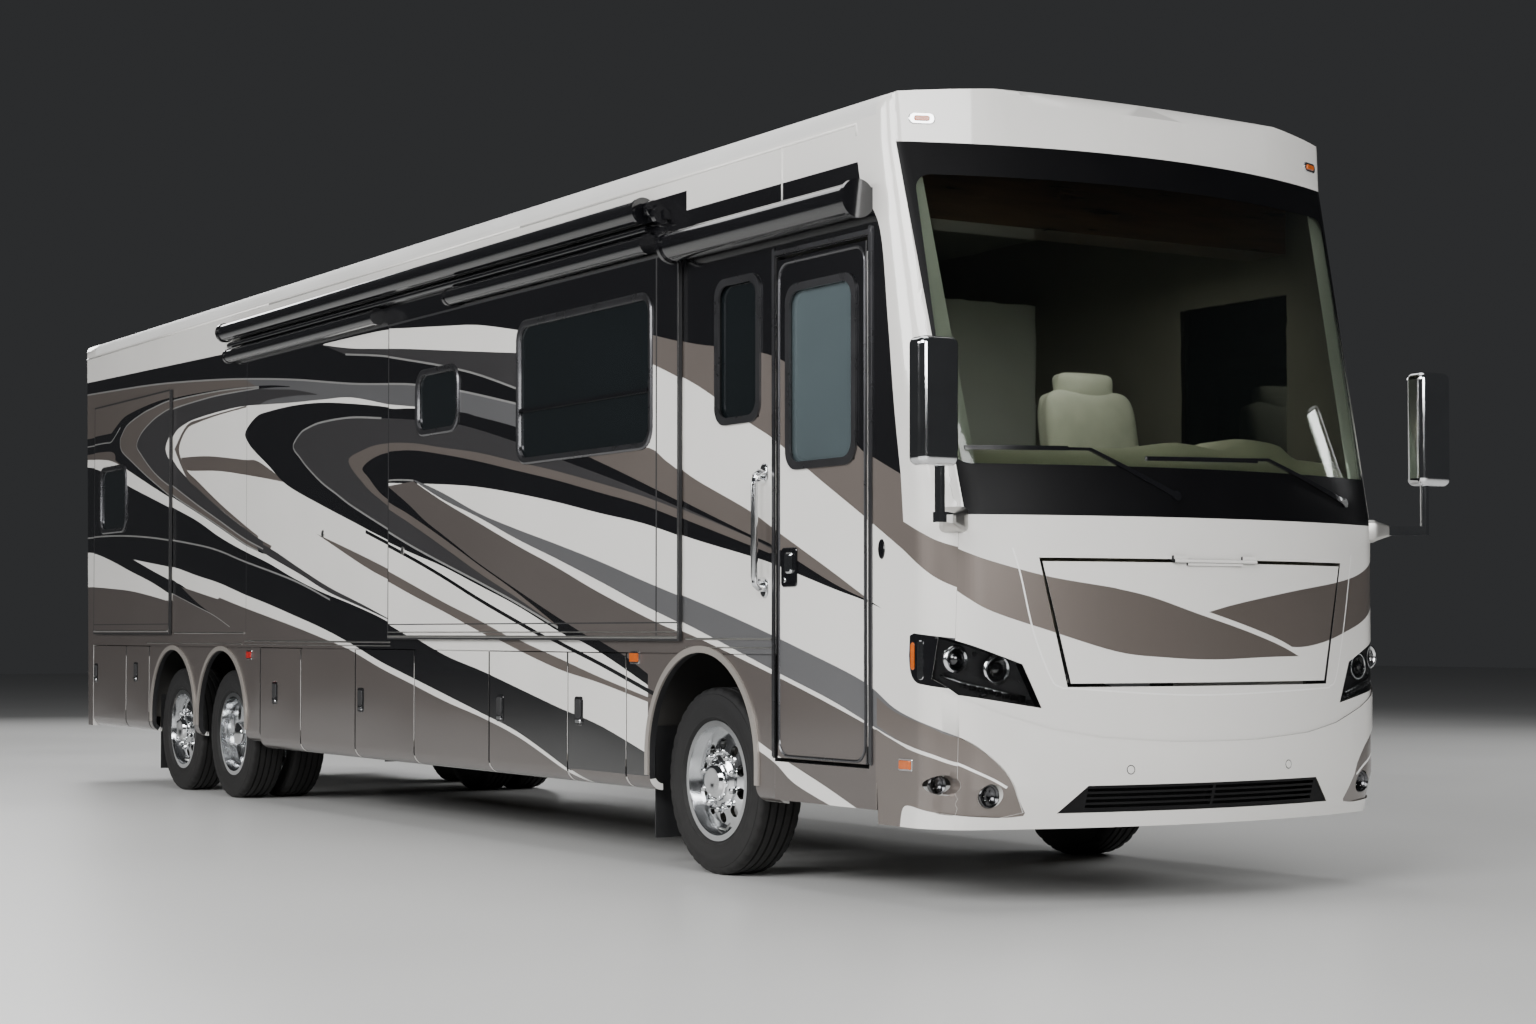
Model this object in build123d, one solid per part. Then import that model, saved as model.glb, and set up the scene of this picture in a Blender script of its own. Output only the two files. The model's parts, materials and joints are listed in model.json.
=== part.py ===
from build123d import *
import math
import os

os.makedirs("parts", exist_ok=True)

# A class A motorhome, millimetres: front towards -Y, entry door side at -X, ground at Z 0

# Overall body
NOSE_Y = -6375.0
TAIL_Y = 6392.0
HALF_WIDTH = 1300.0
FRONT_SEAM_Y = -5608.0
REAR_SEAM_Y = 6080.0
BOW_RADIUS = 3160.0
WALL = 50.0
FIT = 0.3
SEAM = 18.0
RUN_GAP = 6.0

# Heights
SKIRT_Z = 392.0
REAR_SKIRT_Z = 432.0
CHIN_Z = 352.0
BAY_TOP_Z = 1100.0
FLOOR_Z = 1190.0
FLOOR_THICK = 60.0
ROOF_SEAM_Z = 3520.0
ROOF_EDGE_Z = 3612.0
ROOF_CROWN_Z = 3665.0
CEILING_Z = 3440.0
FLOOR_UNDER_Z = FLOOR_Z - FLOOR_THICK

# Wheels and axles
TYRE_RADIUS = 465.0
TYRE_WIDTH = 255.0
RIM_RADIUS = 286.0
RIM_WIDTH = 214.0
TYRE_FACE_X = 1233.0
DUAL_GAP = 56.0
FRONT_AXLE_Y = -4045.0
DRIVE_AXLE_Y = 2930.0
TAG_AXLE_Y = 4050.0
SINGLE_X = TYRE_FACE_X - TYRE_WIDTH / 2
INNER_DUAL_X = SINGLE_X - TYRE_WIDTH - DUAL_GAP
SPINDLE_RADIUS = 44.0
KINGPIN_X = 905.0
KINGPIN_RADIUS = 24.0
HAND_HOLES = 10
HAND_HOLE_RADIUS = 29.0
HAND_HOLE_PITCH = 182.0

# Wheel arches
FRONT_ARCH_RADIUS = 528.0
FRONT_ARCH_TOP_Z = 1104.0
REAR_ARCH_RADIUS = 500.0
TAG_ARCH_Y = 4030.0
DRIVE_ARCH_Y = 2940.0
REAR_ARCH_TOP_Z = 1072.0
ARCH_TRIM = 34.0
ARCH_TRIM_PROUD = 12.0

# Windshield and front openings
GLASS = 12.0
SCREEN_BOTTOM_Z = 1712.0
SCREEN_TOP_Z = 3385.0
SCREEN_SIDE_LOW_Y = -6130.0
SCREEN_SIDE_HIGH_Y = -5716.0
HOOD_TOP_Z = 1512.0
HOOD_BOTTOM_Z = 982.0
HOOD_TOP_HALF = 869.0
HOOD_BOTTOM_HALF = 742.0
HOOD_GAP = 16.0
HOOD_THICK = 12.0
HOOD_BARREL = 8.0
GRILLE_TOP_Z = 536.0
GRILLE_BOTTOM_Z = 421.0
GRILLE_TOP_HALF = 664.0
GRILLE_BOTTOM_HALF = 789.0
LAMP_DEPTH = 60.0

# Doors and slide rooms
DOOR_THICK = 34.0
ENTRY_DOOR_REAR_Y = -4765.0
ENTRY_DOOR_FRONT_Y = -5540.0
ENTRY_DOOR_BOTTOM_Z = 604.0
ENTRY_DOOR_TOP_Z = 2975.0
BARREL_RADIUS = 4.0
BARREL_STUB = 40.0
SKIRT_ROLL = 80.0
SLIDE_PROUD = 28.0
SLIDE_LAP = 55.0
SLIDE_WALL = 40.0
SLIDE_DEPTH = 760.0

# Chassis
RAIL_X = 430.0
RAIL_WIDTH = 80.0
RAIL_LOW_Z = 600.0
RAIL_HIGH_Z = 850.0
RAIL_FRONT_Y = -5900.0
RAIL_REAR_Y = 6180.0
BAY_WALL_X = 500.0
PAN = 20.0
BULKHEAD = 30.0
PIN_BORE_RADIUS = 8.0
HITCH_REACH = 98.0
ENGINE_HALF_WIDTH = 340.0


def block(x, y, z):
    """A box from three ranges."""
    size = Box(abs(x[1] - x[0]), abs(y[1] - y[0]), abs(z[1] - z[0]))
    return Pos((x[0] + x[1]) / 2, (y[0] + y[1]) / 2, (z[0] + z[1]) / 2) * size


def outline_face(place, start, steps):
    """A flat face: each step is an end point, or an arc's middle and end points."""
    edges = []
    here = start
    for step in steps:
        if isinstance(step[0], tuple):
            edges.append(ThreePointArc(place(*here), place(*step[0]), place(*step[1])))
            here = step[1]
        else:
            edges.append(Line(place(*here), place(*step)))
            here = step
    edges.append(Line(place(*here), place(*start)))
    return make_face(edges)


def along_x(points, x):
    """A prism along X from (y, z) points."""
    face = outline_face(lambda y, z: (x[0], y, z), points[0], points[1:])
    return extrude(face, amount=x[1] - x[0], dir=(1, 0, 0))


def along_y(points, y):
    """A prism along Y from (x, z) points."""
    face = outline_face(lambda x, z: (x, y[0], z), points[0], points[1:])
    return extrude(face, amount=y[1] - y[0], dir=(0, 1, 0))


def rod_x(radius, x, y, z):
    return Pos((x[0] + x[1]) / 2, y, z) * Rot(0, 90, 0) * Cylinder(radius, abs(x[1] - x[0]))


def rod_y(radius, x, y, z):
    return Pos(x, (y[0] + y[1]) / 2, z) * Rot(90, 0, 0) * Cylinder(radius, abs(y[1] - y[0]))


def rod_z(radius, x, y, z):
    return Pos(x, y, (z[0] + z[1]) / 2) * Cylinder(radius, abs(z[1] - z[0]))


def joined(shapes):
    total = shapes[0]
    for shape in shapes[1:]:
        total = total + shape
    return total


def save(name, shape):
    solids = shape.solids() if not isinstance(shape, list) else [s for x in shape for s in x.solids()]
    result = solids[0] if len(solids) == 1 else Compound(children=list(solids))
    export_step(result, f"parts/{name}.step")


# Front cap shape
# level, nose Y, half width, corner radius
CAP_LEVELS = [
    (CHIN_Z, NOSE_Y + 55, HALF_WIDTH - 8, 280.0),
    (540.0, NOSE_Y, HALF_WIDTH, 280.0),
    (1720.0, NOSE_Y, HALF_WIDTH, 280.0),
    (SCREEN_TOP_Z, NOSE_Y + 385, HALF_WIDTH, 110.0),
    (ROOF_CROWN_Z + 5, NOSE_Y + 405, HALF_WIDTH, 90.0),
]


def cap_section(z, nose, half, corner, back, inset):
    """A plan section of the bowed front at one height."""
    bow = BOW_RADIUS - inset
    nose = nose + inset
    half = half - inset
    corner = max(corner - inset, 20.0)
    corner_x = half - corner
    corner_y = nose + bow - math.sqrt((bow - corner) ** 2 - corner_x ** 2)
    reach = bow / (bow - corner)
    touch_x = corner_x * reach
    touch_y = nose + bow + (corner_y - nose - bow) * reach
    lean = math.atan2(corner_y - touch_y, touch_x - corner_x) / 2
    mid_x = corner_x + corner * math.cos(lean)
    mid_y = corner_y - corner * math.sin(lean)
    steps = [
        (half, corner_y),
        ((mid_x, mid_y), (touch_x, touch_y)),
        ((0, nose), (-touch_x, touch_y)),
        ((-mid_x, mid_y), (-half, corner_y)),
        (-half, back),
    ]
    return outline_face(lambda x, y: (x, y, z), (half, back), steps)


def cap_body(inset, back, low=0.0, high=0.0):
    """The bowed front as one solid, inset from the outside all round."""
    sections = []
    for number, (z, nose, half, corner) in enumerate(CAP_LEVELS):
        z = z - low if number == 0 else z
        z = z - high if number == len(CAP_LEVELS) - 1 else z
        sections.append(cap_section(z, nose, half, corner, back, inset))
    return loft(sections, ruled=True)


def roof_points(low):
    """The crowned section shared by roof and caps, down to a low height."""
    edge = HALF_WIDTH - (ROOF_EDGE_Z - ROOF_SEAM_Z) * 0.45
    return [
        (-HALF_WIDTH, low),
        (-HALF_WIDTH, ROOF_SEAM_Z + 20),
        ((-HALF_WIDTH + 12, ROOF_EDGE_Z - 30), (-edge, ROOF_EDGE_Z)),
        ((0, ROOF_CROWN_Z), (edge, ROOF_EDGE_Z)),
        ((HALF_WIDTH - 12, ROOF_EDGE_Z - 30), (HALF_WIDTH, ROOF_SEAM_Z + 20)),
        (HALF_WIDTH, low),
    ]


hull = along_y(roof_points(0), (NOSE_Y - 100, TAIL_Y + 100))
brow_cut = along_x(
    [(NOSE_Y, 3574), (NOSE_Y + 405, 3574), (NOSE_Y + 560, ROOF_CROWN_Z + 4), (NOSE_Y, ROOF_CROWN_Z + 20)],
    (-HALF_WIDTH - 50, HALF_WIDTH + 50),
)


def front_prism(points):
    """A prism through the front cap from (x, z) points."""
    return along_y(points, (NOSE_Y - 60, FRONT_SEAM_Y - 20))


def grown(points, gap):
    """The (x, z) outline moved outwards by a gap, from its middle."""
    mid_x = sum(p[0] for p in points) / len(points)
    mid_z = sum(p[1] for p in points) / len(points)
    return [(x + math.copysign(gap, x - mid_x), z + math.copysign(gap, z - mid_z)) for x, z in points]


def mirrored(points):
    return [(-x, z) for x, z in points]


def screen_region(gap):
    """The windshield opening, smaller by a gap all round."""
    side = along_x(
        [
            (NOSE_Y - 100, SCREEN_BOTTOM_Z + gap),
            (SCREEN_SIDE_LOW_Y - gap, SCREEN_BOTTOM_Z + gap),
            (SCREEN_SIDE_HIGH_Y - gap, SCREEN_TOP_Z - gap),
            (NOSE_Y - 100, SCREEN_TOP_Z - gap),
        ],
        (-HALF_WIDTH - 50, HALF_WIDTH + 50),
    )
    return side


HOOD = [
    (-HOOD_TOP_HALF, HOOD_TOP_Z),
    (HOOD_TOP_HALF, HOOD_TOP_Z),
    (HOOD_BOTTOM_HALF, HOOD_BOTTOM_Z),
    (-HOOD_BOTTOM_HALF, HOOD_BOTTOM_Z),
]
GRILLE = [
    (-GRILLE_TOP_HALF, GRILLE_TOP_Z),
    (GRILLE_TOP_HALF, GRILLE_TOP_Z),
    (GRILLE_BOTTOM_HALF, GRILLE_BOTTOM_Z),
    (-GRILLE_BOTTOM_HALF, GRILLE_BOTTOM_Z),
]
HEADLAMP = [(-1268, 1186), (-958, 1066), (-874, 876), (-1215, 934), (-1282, 1004)]
# x, z, radius
FOG_LAMPS = [(1089.0, 499.0, 52.0), (1252.0, 545.0, 44.0)]

outer = cap_body(0, FRONT_SEAM_Y)
outer = (outer & hull) - brow_cut
inner = cap_body(WALL, FRONT_SEAM_Y + 60, low=60, high=150)
front_shell = outer - inner
# the bumper stands proud below the ledge, between the lamp pockets, as half of an (x, z) outline
BUMPER_PROUD = 7.0
LEDGE = [
    (0.0, 719.0), (-253.0, 722.0), (-606.0, 745.0), (-838.0, 785.0), (-1055.0, 851.0), (-1180.0, 905.0),
    (-1262.0, 955.0), (-1262.0, 780.0), (-1200.0, 745.0), (-1098.0, 672.0), (-1022.0, 590.0), (-969.0, 482.0),
    (-940.0, 425.0), (-1033.0, 404.0), (-1193.0, 412.0), (-1262.0, 424.0), (-1262.0, CHIN_Z - 30),
]
bumper = (cap_body(-BUMPER_PROUD, FRONT_SEAM_Y) - outer) & front_prism(LEDGE + mirrored(LEDGE)[:0:-1])
front_cap = front_shell + bumper - screen_region(0)
front_cap = front_cap - front_prism(grown(HOOD, HOOD_GAP)) - front_prism(grown(GRILLE, 2))
glass_shell = outer - cap_body(GLASS, FRONT_SEAM_Y + 60, low=60, high=150)
save("windshield", glass_shell & screen_region(FIT))

# Front lamps and grille
lamps = []
lamp_shell = outer - cap_body(LAMP_DEPTH, FRONT_SEAM_Y + 60, low=60, high=150)
for side in (1, -1):
    points = HEADLAMP if side == 1 else mirrored(HEADLAMP)
    front_cap = front_cap - front_prism(grown(points, FIT))
    lamps.append(lamp_shell & front_prism(points))
    for x, z, radius in FOG_LAMPS:
        fog_y = (NOSE_Y - 60, NOSE_Y + 500)
        front_cap = front_cap - rod_y(radius + FIT, side * x, fog_y, z)
        lamps.append(lamp_shell & rod_y(radius, side * x, fog_y, z))

hood_shell = outer - cap_body(HOOD_THICK, FRONT_SEAM_Y + 60, low=60, high=150)
hood = hood_shell & front_prism(HOOD)
hinge_y = NOSE_Y - HOOD_BARREL
hinge_z = HOOD_TOP_Z + HOOD_GAP / 2
hood = hood + rod_x(HOOD_BARREL, (-160, 160), hinge_y, hinge_z)
hood = hood + block((-160, 160), (hinge_y, NOSE_Y + 10), (HOOD_TOP_Z - 12, hinge_z))
save("hood_panel", hood)
for side in (1, -1):
    ends = (side * (160 + FIT), side * 240)
    stub = rod_x(HOOD_BARREL, ends, hinge_y, hinge_z)
    ear = block(ends, (hinge_y, NOSE_Y + 30), (hinge_z, HOOD_TOP_Z + HOOD_GAP + 16))
    front_cap = front_cap + stub + ear
save("front_cap", front_cap)

grille_shell = outer - cap_body(30, FRONT_SEAM_Y + 60, low=60, high=150)
grille = grille_shell & front_prism(GRILLE)
grille_y = (NOSE_Y - 50, NOSE_Y + 200)
for z in (446, 470, 494, 518):
    slot = block((-660, 660), grille_y, (z - 7, z + 7))
    grille = grille - (slot - block((-8, 8), grille_y, (z - 7, z + 7)))
save("lower_grille", grille)

# Rear cap and engine door
ENGINE_DOOR_X = 880.0
ENGINE_DOOR_LOW_Z = 640.0
ENGINE_DOOR_TOP_Z = 1720.0
REAR_LEAN = 110.0
REAR_CORNER = 90.0


def rear_section(z, tail, inset, front):
    """A plan section of the rear cap at one height."""
    half = HALF_WIDTH - inset
    tail = tail - inset
    corner = REAR_CORNER - inset
    turn = corner * (1 - math.sqrt(0.5))
    steps = [
        (half, tail - corner),
        ((half - turn, tail - turn), (half - corner, tail)),
        (-half + corner, tail),
        ((-half + turn, tail - turn), (-half, tail - corner)),
        (-half, front),
    ]
    return outline_face(lambda x, y: (x, y, z), (half, front), steps)


def rear_y(z):
    """The rear face's place at one height."""
    return TAIL_Y - REAR_LEAN * (ROOF_CROWN_Z - z) / (ROOF_CROWN_Z - REAR_SKIRT_Z)


def rear_body(inset, front, low, high):
    levels = (REAR_SKIRT_Z - low, ROOF_CROWN_Z + high)
    return loft([rear_section(z, rear_y(z), inset, front) for z in levels], ruled=True)


rear_cap = (rear_body(0, REAR_SEAM_Y, 0, 0) & hull) - rear_body(WALL, REAR_SEAM_Y - 60, 60, -130)
rear_cap = rear_cap - block((-62, 62), (TAIL_Y - 300, TAIL_Y + 50), (REAR_SKIRT_Z - 10, 530))
rear_cap = rear_cap - block(
    (-ENGINE_DOOR_X - SEAM / 2, ENGINE_DOOR_X + SEAM / 2), (TAIL_Y - 300, TAIL_Y + 50),
    (ENGINE_DOOR_LOW_Z - SEAM / 2, ENGINE_DOOR_TOP_Z + SEAM / 2),
)
door_low = rear_y(ENGINE_DOOR_LOW_Z)
door_top = rear_y(ENGINE_DOOR_TOP_Z)
engine_door = along_x(
    [
        (door_low - DOOR_THICK, ENGINE_DOOR_LOW_Z), (door_low, ENGINE_DOOR_LOW_Z),
        (door_top, ENGINE_DOOR_TOP_Z), (door_top - DOOR_THICK, ENGINE_DOOR_TOP_Z),
    ],
    (-ENGINE_DOOR_X, ENGINE_DOOR_X),
)
for row in range(12):
    z = 760 + row * 52
    slot = block((-620, 620), (door_low - 60, TAIL_Y), (z - 11, z + 11))
    engine_door = engine_door - (slot - block((-10, 10), (door_low - 60, TAIL_Y), (z - 11, z + 11)))
rear_hinge_z = ENGINE_DOOR_TOP_Z + SEAM / 2
rear_hinge_y = rear_y(rear_hinge_z) + BARREL_RADIUS + 1
barrel_x = ENGINE_DOOR_X - 120
engine_door = engine_door + rod_x(BARREL_RADIUS, (-barrel_x, barrel_x), rear_hinge_y, rear_hinge_z)
engine_door = engine_door + block(
    (-barrel_x, barrel_x), (door_top - 3, rear_hinge_y), (ENGINE_DOOR_TOP_Z - 8, rear_hinge_z)
)
save("engine_door", engine_door)
for side in (1, -1):
    ends = (side * (barrel_x + FIT), side * (barrel_x + 60))
    rear_cap = rear_cap + rod_x(BARREL_RADIUS, ends, rear_hinge_y, rear_hinge_z)
    leaf_z = (rear_hinge_z, rear_hinge_z + SEAM / 2 + 8)
    rear_cap = rear_cap + block(ends, (door_top - 3, rear_hinge_y), leaf_z)
save("rear_cap", rear_cap)

# Roof
roof_profile = [(-HALF_WIDTH + WALL, CEILING_Z), (-HALF_WIDTH + WALL, ROOF_SEAM_Z)]
roof_profile += roof_points(ROOF_SEAM_Z)
roof_profile += [(HALF_WIDTH - WALL, ROOF_SEAM_Z), (HALF_WIDTH - WALL, CEILING_Z)]
save("roof", along_y(roof_profile, (FRONT_SEAM_Y, REAR_SEAM_Y)))

# Side walls: openings as rear Y, front Y, low Z, high Z
ENTRY_DOOR = (ENTRY_DOOR_REAR_Y, ENTRY_DOOR_FRONT_Y, ENTRY_DOOR_BOTTOM_Z, ENTRY_DOOR_TOP_Z)
SMALL_WINDOW = (-4211.0, -4600.0, 2237.0, 2917.0)
DRIVER_WINDOW = (-4700.0, -5500.0, 1960.0, 2900.0)
LEFT_REAR_WINDOW = (3650.0, 2750.0, 2150.0, 2850.0)
# slide rooms: name, side, rear Y, front Y, low Z, high Z of the outer panel
MID_SLIDE = (-175.0, -3864.0, 1162.0, 3132.0)
REAR_SLIDE = (5990.0, 4060.0, 1190.0, 3070.0)
LEFT_SLIDE = (1900.0, -3500.0, 1162.0, 3132.0)
KITCHEN_WINDOW = (-637.0, -1211.0, 2425.0, 2773.0)
LIVING_WINDOW = (-2044.0, -3571.0, 2176.0, 2930.0)
BEDROOM_WINDOW = (5800.0, 5140.0, 2040.0, 2530.0)
LEFT_SLIDE_WINDOWS = [(-2100.0, -3200.0, 2176.0, 2930.0), (1300.0, 300.0, 2300.0, 2850.0)]


def side_block(side, x, opening, gap=0.0):
    """A box on one side of the body, x given outwards, the opening shrunk by a gap."""
    rear, front, low, high = opening
    return block((side * x[0], side * x[1]), (front + gap, rear - gap), (low + gap, high - gap))


def shrunk(opening, gap):
    rear, front, low, high = opening
    return (rear - gap, front + gap, low + gap, high - gap)


# window frames lap over the panel and into the opening
FRAME_PROUD = 11.0
FRAME_LAP = 20.0
FRAME_LIP = 16.0
FRAME_CORNER = 92.0


def window_frame(side, face, opening):
    """A round-cornered frame standing on a face, given outwards, round a window opening."""
    outer = side_block(side, (face + FIT, face + FRAME_PROUD), opening, -FRAME_LAP)
    hole = side_block(side, (face - FRAME_PROUD, face + 2 * FRAME_PROUD), opening, FRAME_LIP)
    outer = fillet(outer.edges().filter_by(Axis.X), FRAME_CORNER)
    hole = fillet(hole.edges().filter_by(Axis.X), FRAME_CORNER - (FRAME_LAP + FRAME_LIP) / 2)
    return outer - hole


THROUGH = (HALF_WIDTH - WALL - 60, HALF_WIDTH + 60)
WALL_X = (HALF_WIDTH - WALL, HALF_WIDTH)


def wall(side, openings):
    shape = side_block(side, WALL_X, (REAR_SEAM_Y, FRONT_SEAM_Y, BAY_TOP_Z, ROOF_SEAM_Z))
    for opening in openings:
        shape = shape - side_block(side, THROUGH, opening)
    return shape


def arch_cut(side, centre_y, radius, top_z):
    """The space of a wheel arch through the lower side."""
    ends = (side * (HALF_WIDTH - 320), side * (HALF_WIDTH + 60))
    low = block(ends, (centre_y - radius, centre_y + radius), (0, top_z - radius))
    return low + rod_x(radius, ends, centre_y, top_z - radius)


def side_arches(side):
    return joined([
        arch_cut(side, FRONT_AXLE_Y, FRONT_ARCH_RADIUS, FRONT_ARCH_TOP_Z),
        arch_cut(side, DRIVE_ARCH_Y, REAR_ARCH_RADIUS, REAR_ARCH_TOP_Z),
        arch_cut(side, TAG_ARCH_Y, REAR_ARCH_RADIUS, REAR_ARCH_TOP_Z),
    ])


def skirt_panel(side, y, low, thick=DOOR_THICK):
    """A lower side panel that rolls under at its foot."""
    roll = SKIRT_ROLL
    turn = roll * (1 - math.sqrt(0.5))
    inner = roll - thick
    inner_turn = inner * (1 - math.sqrt(0.5))
    points = [
        (HALF_WIDTH, BAY_TOP_Z - RUN_GAP),
        (HALF_WIDTH, low + roll),
        ((HALF_WIDTH - turn, low + turn), (HALF_WIDTH - roll, low)),
        (HALF_WIDTH - roll, low + thick),
        ((HALF_WIDTH - thick - inner_turn, low + thick + inner_turn), (HALF_WIDTH - thick, low + roll)),
        (HALF_WIDTH - thick, BAY_TOP_Z - RUN_GAP),
    ]
    return along_y([scaled(side, p) for p in points], (min(y), max(y)))


def scaled(side, point):
    """A point or an arc's pair of points put on one side of the body."""
    if isinstance(point[0], tuple):
        return tuple((side * x, z) for x, z in point)
    return (side * point[0], point[1])


# Bay doors: name, side, rear Y, front Y, low Z
BAY_DOORS = [
    ("bay_door_right_1", -1, 6072.0, 5191.0, REAR_SKIRT_Z),
    ("bay_door_right_2", -1, 5191.0, 4606.0, REAR_SKIRT_Z),
    ("bay_door_right_3", -1, 2144.0, 1369.0, SKIRT_Z),
    ("bay_door_right_4", -1, 412.0, -528.0, SKIRT_Z),
    ("bay_door_right_5", -1, -1598.0, -2593.0, SKIRT_Z),
    ("bay_door_right_6", -1, -2593.0, -3264.0, SKIRT_Z),
    ("bay_door_left_1", 1, 6072.0, 5191.0, REAR_SKIRT_Z),
    ("bay_door_left_2", 1, 412.0, -528.0, SKIRT_Z),
    ("bay_door_left_3", 1, -1598.0, -2593.0, SKIRT_Z),
]
# Fixed lower panels: side, rear Y, front Y, low Z, where a full width edge meets a seam
FIXED_PANELS = [
    (-1, 1369.0, 412.0, SKIRT_Z),
    (-1, -528.0, -1598.0, SKIRT_Z),
    (1, 2144.0, 412.0, SKIRT_Z),
    (1, -528.0, -1598.0, SKIRT_Z),
    (1, 5191.0, 4606.0, REAR_SKIRT_Z),
    (1, -2593.0, -3264.0, SKIRT_Z),
]
# Arch panels: side, rear Y, front Y, low Z
ARCH_PANELS = [
    (-1, 4606.0, 2144.0, REAR_SKIRT_Z),
    (-1, -3264.0, ENTRY_DOOR_REAR_Y + SEAM / 2, SKIRT_Z),
    (1, 4606.0, 2144.0, REAR_SKIRT_Z),
    (1, -3264.0, FRONT_SEAM_Y, SKIRT_Z),
]
HALF_SEAM = SEAM / 2
walls = {
    -1: wall(-1, [
        shrunk(ENTRY_DOOR, -HALF_SEAM),
        shrunk(MID_SLIDE, SLIDE_LAP),
        shrunk(REAR_SLIDE, SLIDE_LAP),
        SMALL_WINDOW,
    ]),
    1: wall(1, [DRIVER_WINDOW, LEFT_REAR_WINDOW, shrunk(LEFT_SLIDE, SLIDE_LAP)]),
}
skirts = {-1: [], 1: []}
for side, rear, front, low in FIXED_PANELS + ARCH_PANELS:
    panel_y = (front + HALF_SEAM, rear - HALF_SEAM)
    strip_x = (side * (HALF_WIDTH - 30), side * (HALF_WIDTH - 8))
    rib = block(strip_x, panel_y, (BAY_TOP_Z - RUN_GAP - 4, BAY_TOP_Z - FIT))
    skirts[side].append(skirt_panel(side, panel_y, low) + rib - side_arches(side))
save("right_skirt", skirts[-1])
save("left_skirt", skirts[1])
for side in (-1, 1):
    walls[side] = walls[side] - side_arches(side)
right_door_frame = block(
    (-HALF_WIDTH, -HALF_WIDTH + WALL), (FRONT_SEAM_Y, ENTRY_DOOR_FRONT_Y - SEAM / 2),
    (ENTRY_DOOR_BOTTOM_Z - 120, BAY_TOP_Z),
)
door_sill = block(
    (-HALF_WIDTH, -HALF_WIDTH + WALL), (FRONT_SEAM_Y, ENTRY_DOOR_REAR_Y + SEAM - FIT),
    (ENTRY_DOOR_BOTTOM_Z - 190, ENTRY_DOOR_BOTTOM_Z - HALF_SEAM),
)
walls[-1] = walls[-1] + right_door_frame + door_sill

# Entry door
door_panel = side_block(-1, (HALF_WIDTH - DOOR_THICK, HALF_WIDTH), ENTRY_DOOR, HALF_SEAM)
DOOR_WINDOW = (-4872.0, -5433.0, 1985.0, 2820.0)
door_panel = door_panel - side_block(-1, THROUGH, DOOR_WINDOW)


def hinge(panel, frame, side, y, z, leaf_in):
    """A vertical barrel on the panel between two stubs on the frame."""
    x = side * HALF_WIDTH
    low, high = z
    barrel = rod_z(BARREL_RADIUS, x, y, (low + BARREL_STUB + FIT, high - BARREL_STUB - FIT))
    leaf_z = (low + BARREL_STUB + FIT, high - BARREL_STUB - FIT)
    leaf = block((x, x - side * 3), (y, y + HALF_SEAM + 2), leaf_z)
    panel = panel + barrel + leaf
    for stub in ((low, low + BARREL_STUB), (high - BARREL_STUB, high)):
        frame = frame + rod_z(BARREL_RADIUS, x, y, stub)
        frame = frame + block((x, x - side * leaf_in), (y - 1.5, y + 1.5), stub)
    return panel, frame


entry_z = (ENTRY_DOOR_BOTTOM_Z + 90, ENTRY_DOOR_TOP_Z - 60)
entry_hinge_y = ENTRY_DOOR_FRONT_Y
door_panel, walls[-1] = hinge(door_panel, walls[-1], -1, entry_hinge_y, entry_z, 20)
for stub in ((entry_z[0], entry_z[0] + BARREL_STUB), (entry_z[1] - BARREL_STUB, entry_z[1])):
    tab_y = (entry_hinge_y - HALF_SEAM - 3, entry_hinge_y)
    walls[-1] = walls[-1] + block((-HALF_WIDTH, -HALF_WIDTH + 4), tab_y, stub)
save("entry_door", door_panel)
door_pane = side_block(-1, (HALF_WIDTH - 22, HALF_WIDTH - 12), DOOR_WINDOW, FIT)
save("entry_door_glass", [door_pane, window_frame(-1, HALF_WIDTH, DOOR_WINDOW)])

# Basement: bay pans, inner walls and bulkheads
BULKHEAD_TOP_Z = FLOOR_UNDER_Z
BULKHEAD_EDGE = HALF_WIDTH - DOOR_THICK - 8
FRONT_FLAP_Y = -3400.0
REAR_FLAP_Y = 4606.0
# bay groups: rear Y, front Y, pan top Z
BAY_GROUPS = [
    (2144.0, FRONT_FLAP_Y, 425.0),
    (6000.0, REAR_FLAP_Y, 465.0),
]
BULKHEADS = [
    2144.0, 1369.0, 412.0, -528.0, -1598.0, -2593.0, -3264.0,
    FRONT_FLAP_Y, 6000.0, 5191.0, REAR_FLAP_Y,
]
basement_parts = []
for side in (-1, 1):
    inner = side * BAY_WALL_X
    for rear, front, pan_z in BAY_GROUPS:
        pan_x = (inner, side * (HALF_WIDTH - SKIRT_ROLL - 14))
        basement_parts.append(block(pan_x, (front, rear), (pan_z - PAN, pan_z)))
        wall_x = (inner, inner + side * PAN)
        basement_parts.append(block(wall_x, (front, rear), (pan_z - PAN, BULKHEAD_TOP_Z)))
    for y in BULKHEADS:
        low = 425.0 if y < 3000 else 465.0
        edge = side * BULKHEAD_EDGE
        foot = side * (HALF_WIDTH - SKIRT_ROLL - 14)
        half = BULKHEAD / 2
        basement_parts.append(block((inner, foot), (y - half, y + half), (low - PAN, BULKHEAD_TOP_Z)))
        basement_parts.append(block((foot, edge), (y - half, y + half), (low + 80, BAY_TOP_Z - RUN_GAP)))
basement = joined(basement_parts)
for name, side, rear, front, low in BAY_DOORS:
    panel = skirt_panel(side, (front + HALF_SEAM, rear - HALF_SEAM), low)
    z = (low + SKIRT_ROLL + 30, BAY_TOP_Z - 40)
    door, basement = hinge(panel, basement, side, front, z, DOOR_THICK + 12)
    save(name, door)
save("basement", basement)

save("right_wall", walls[-1])
save("left_wall", walls[1])

# Slide rooms
RUNNER_WIDTH = 120.0


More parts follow.
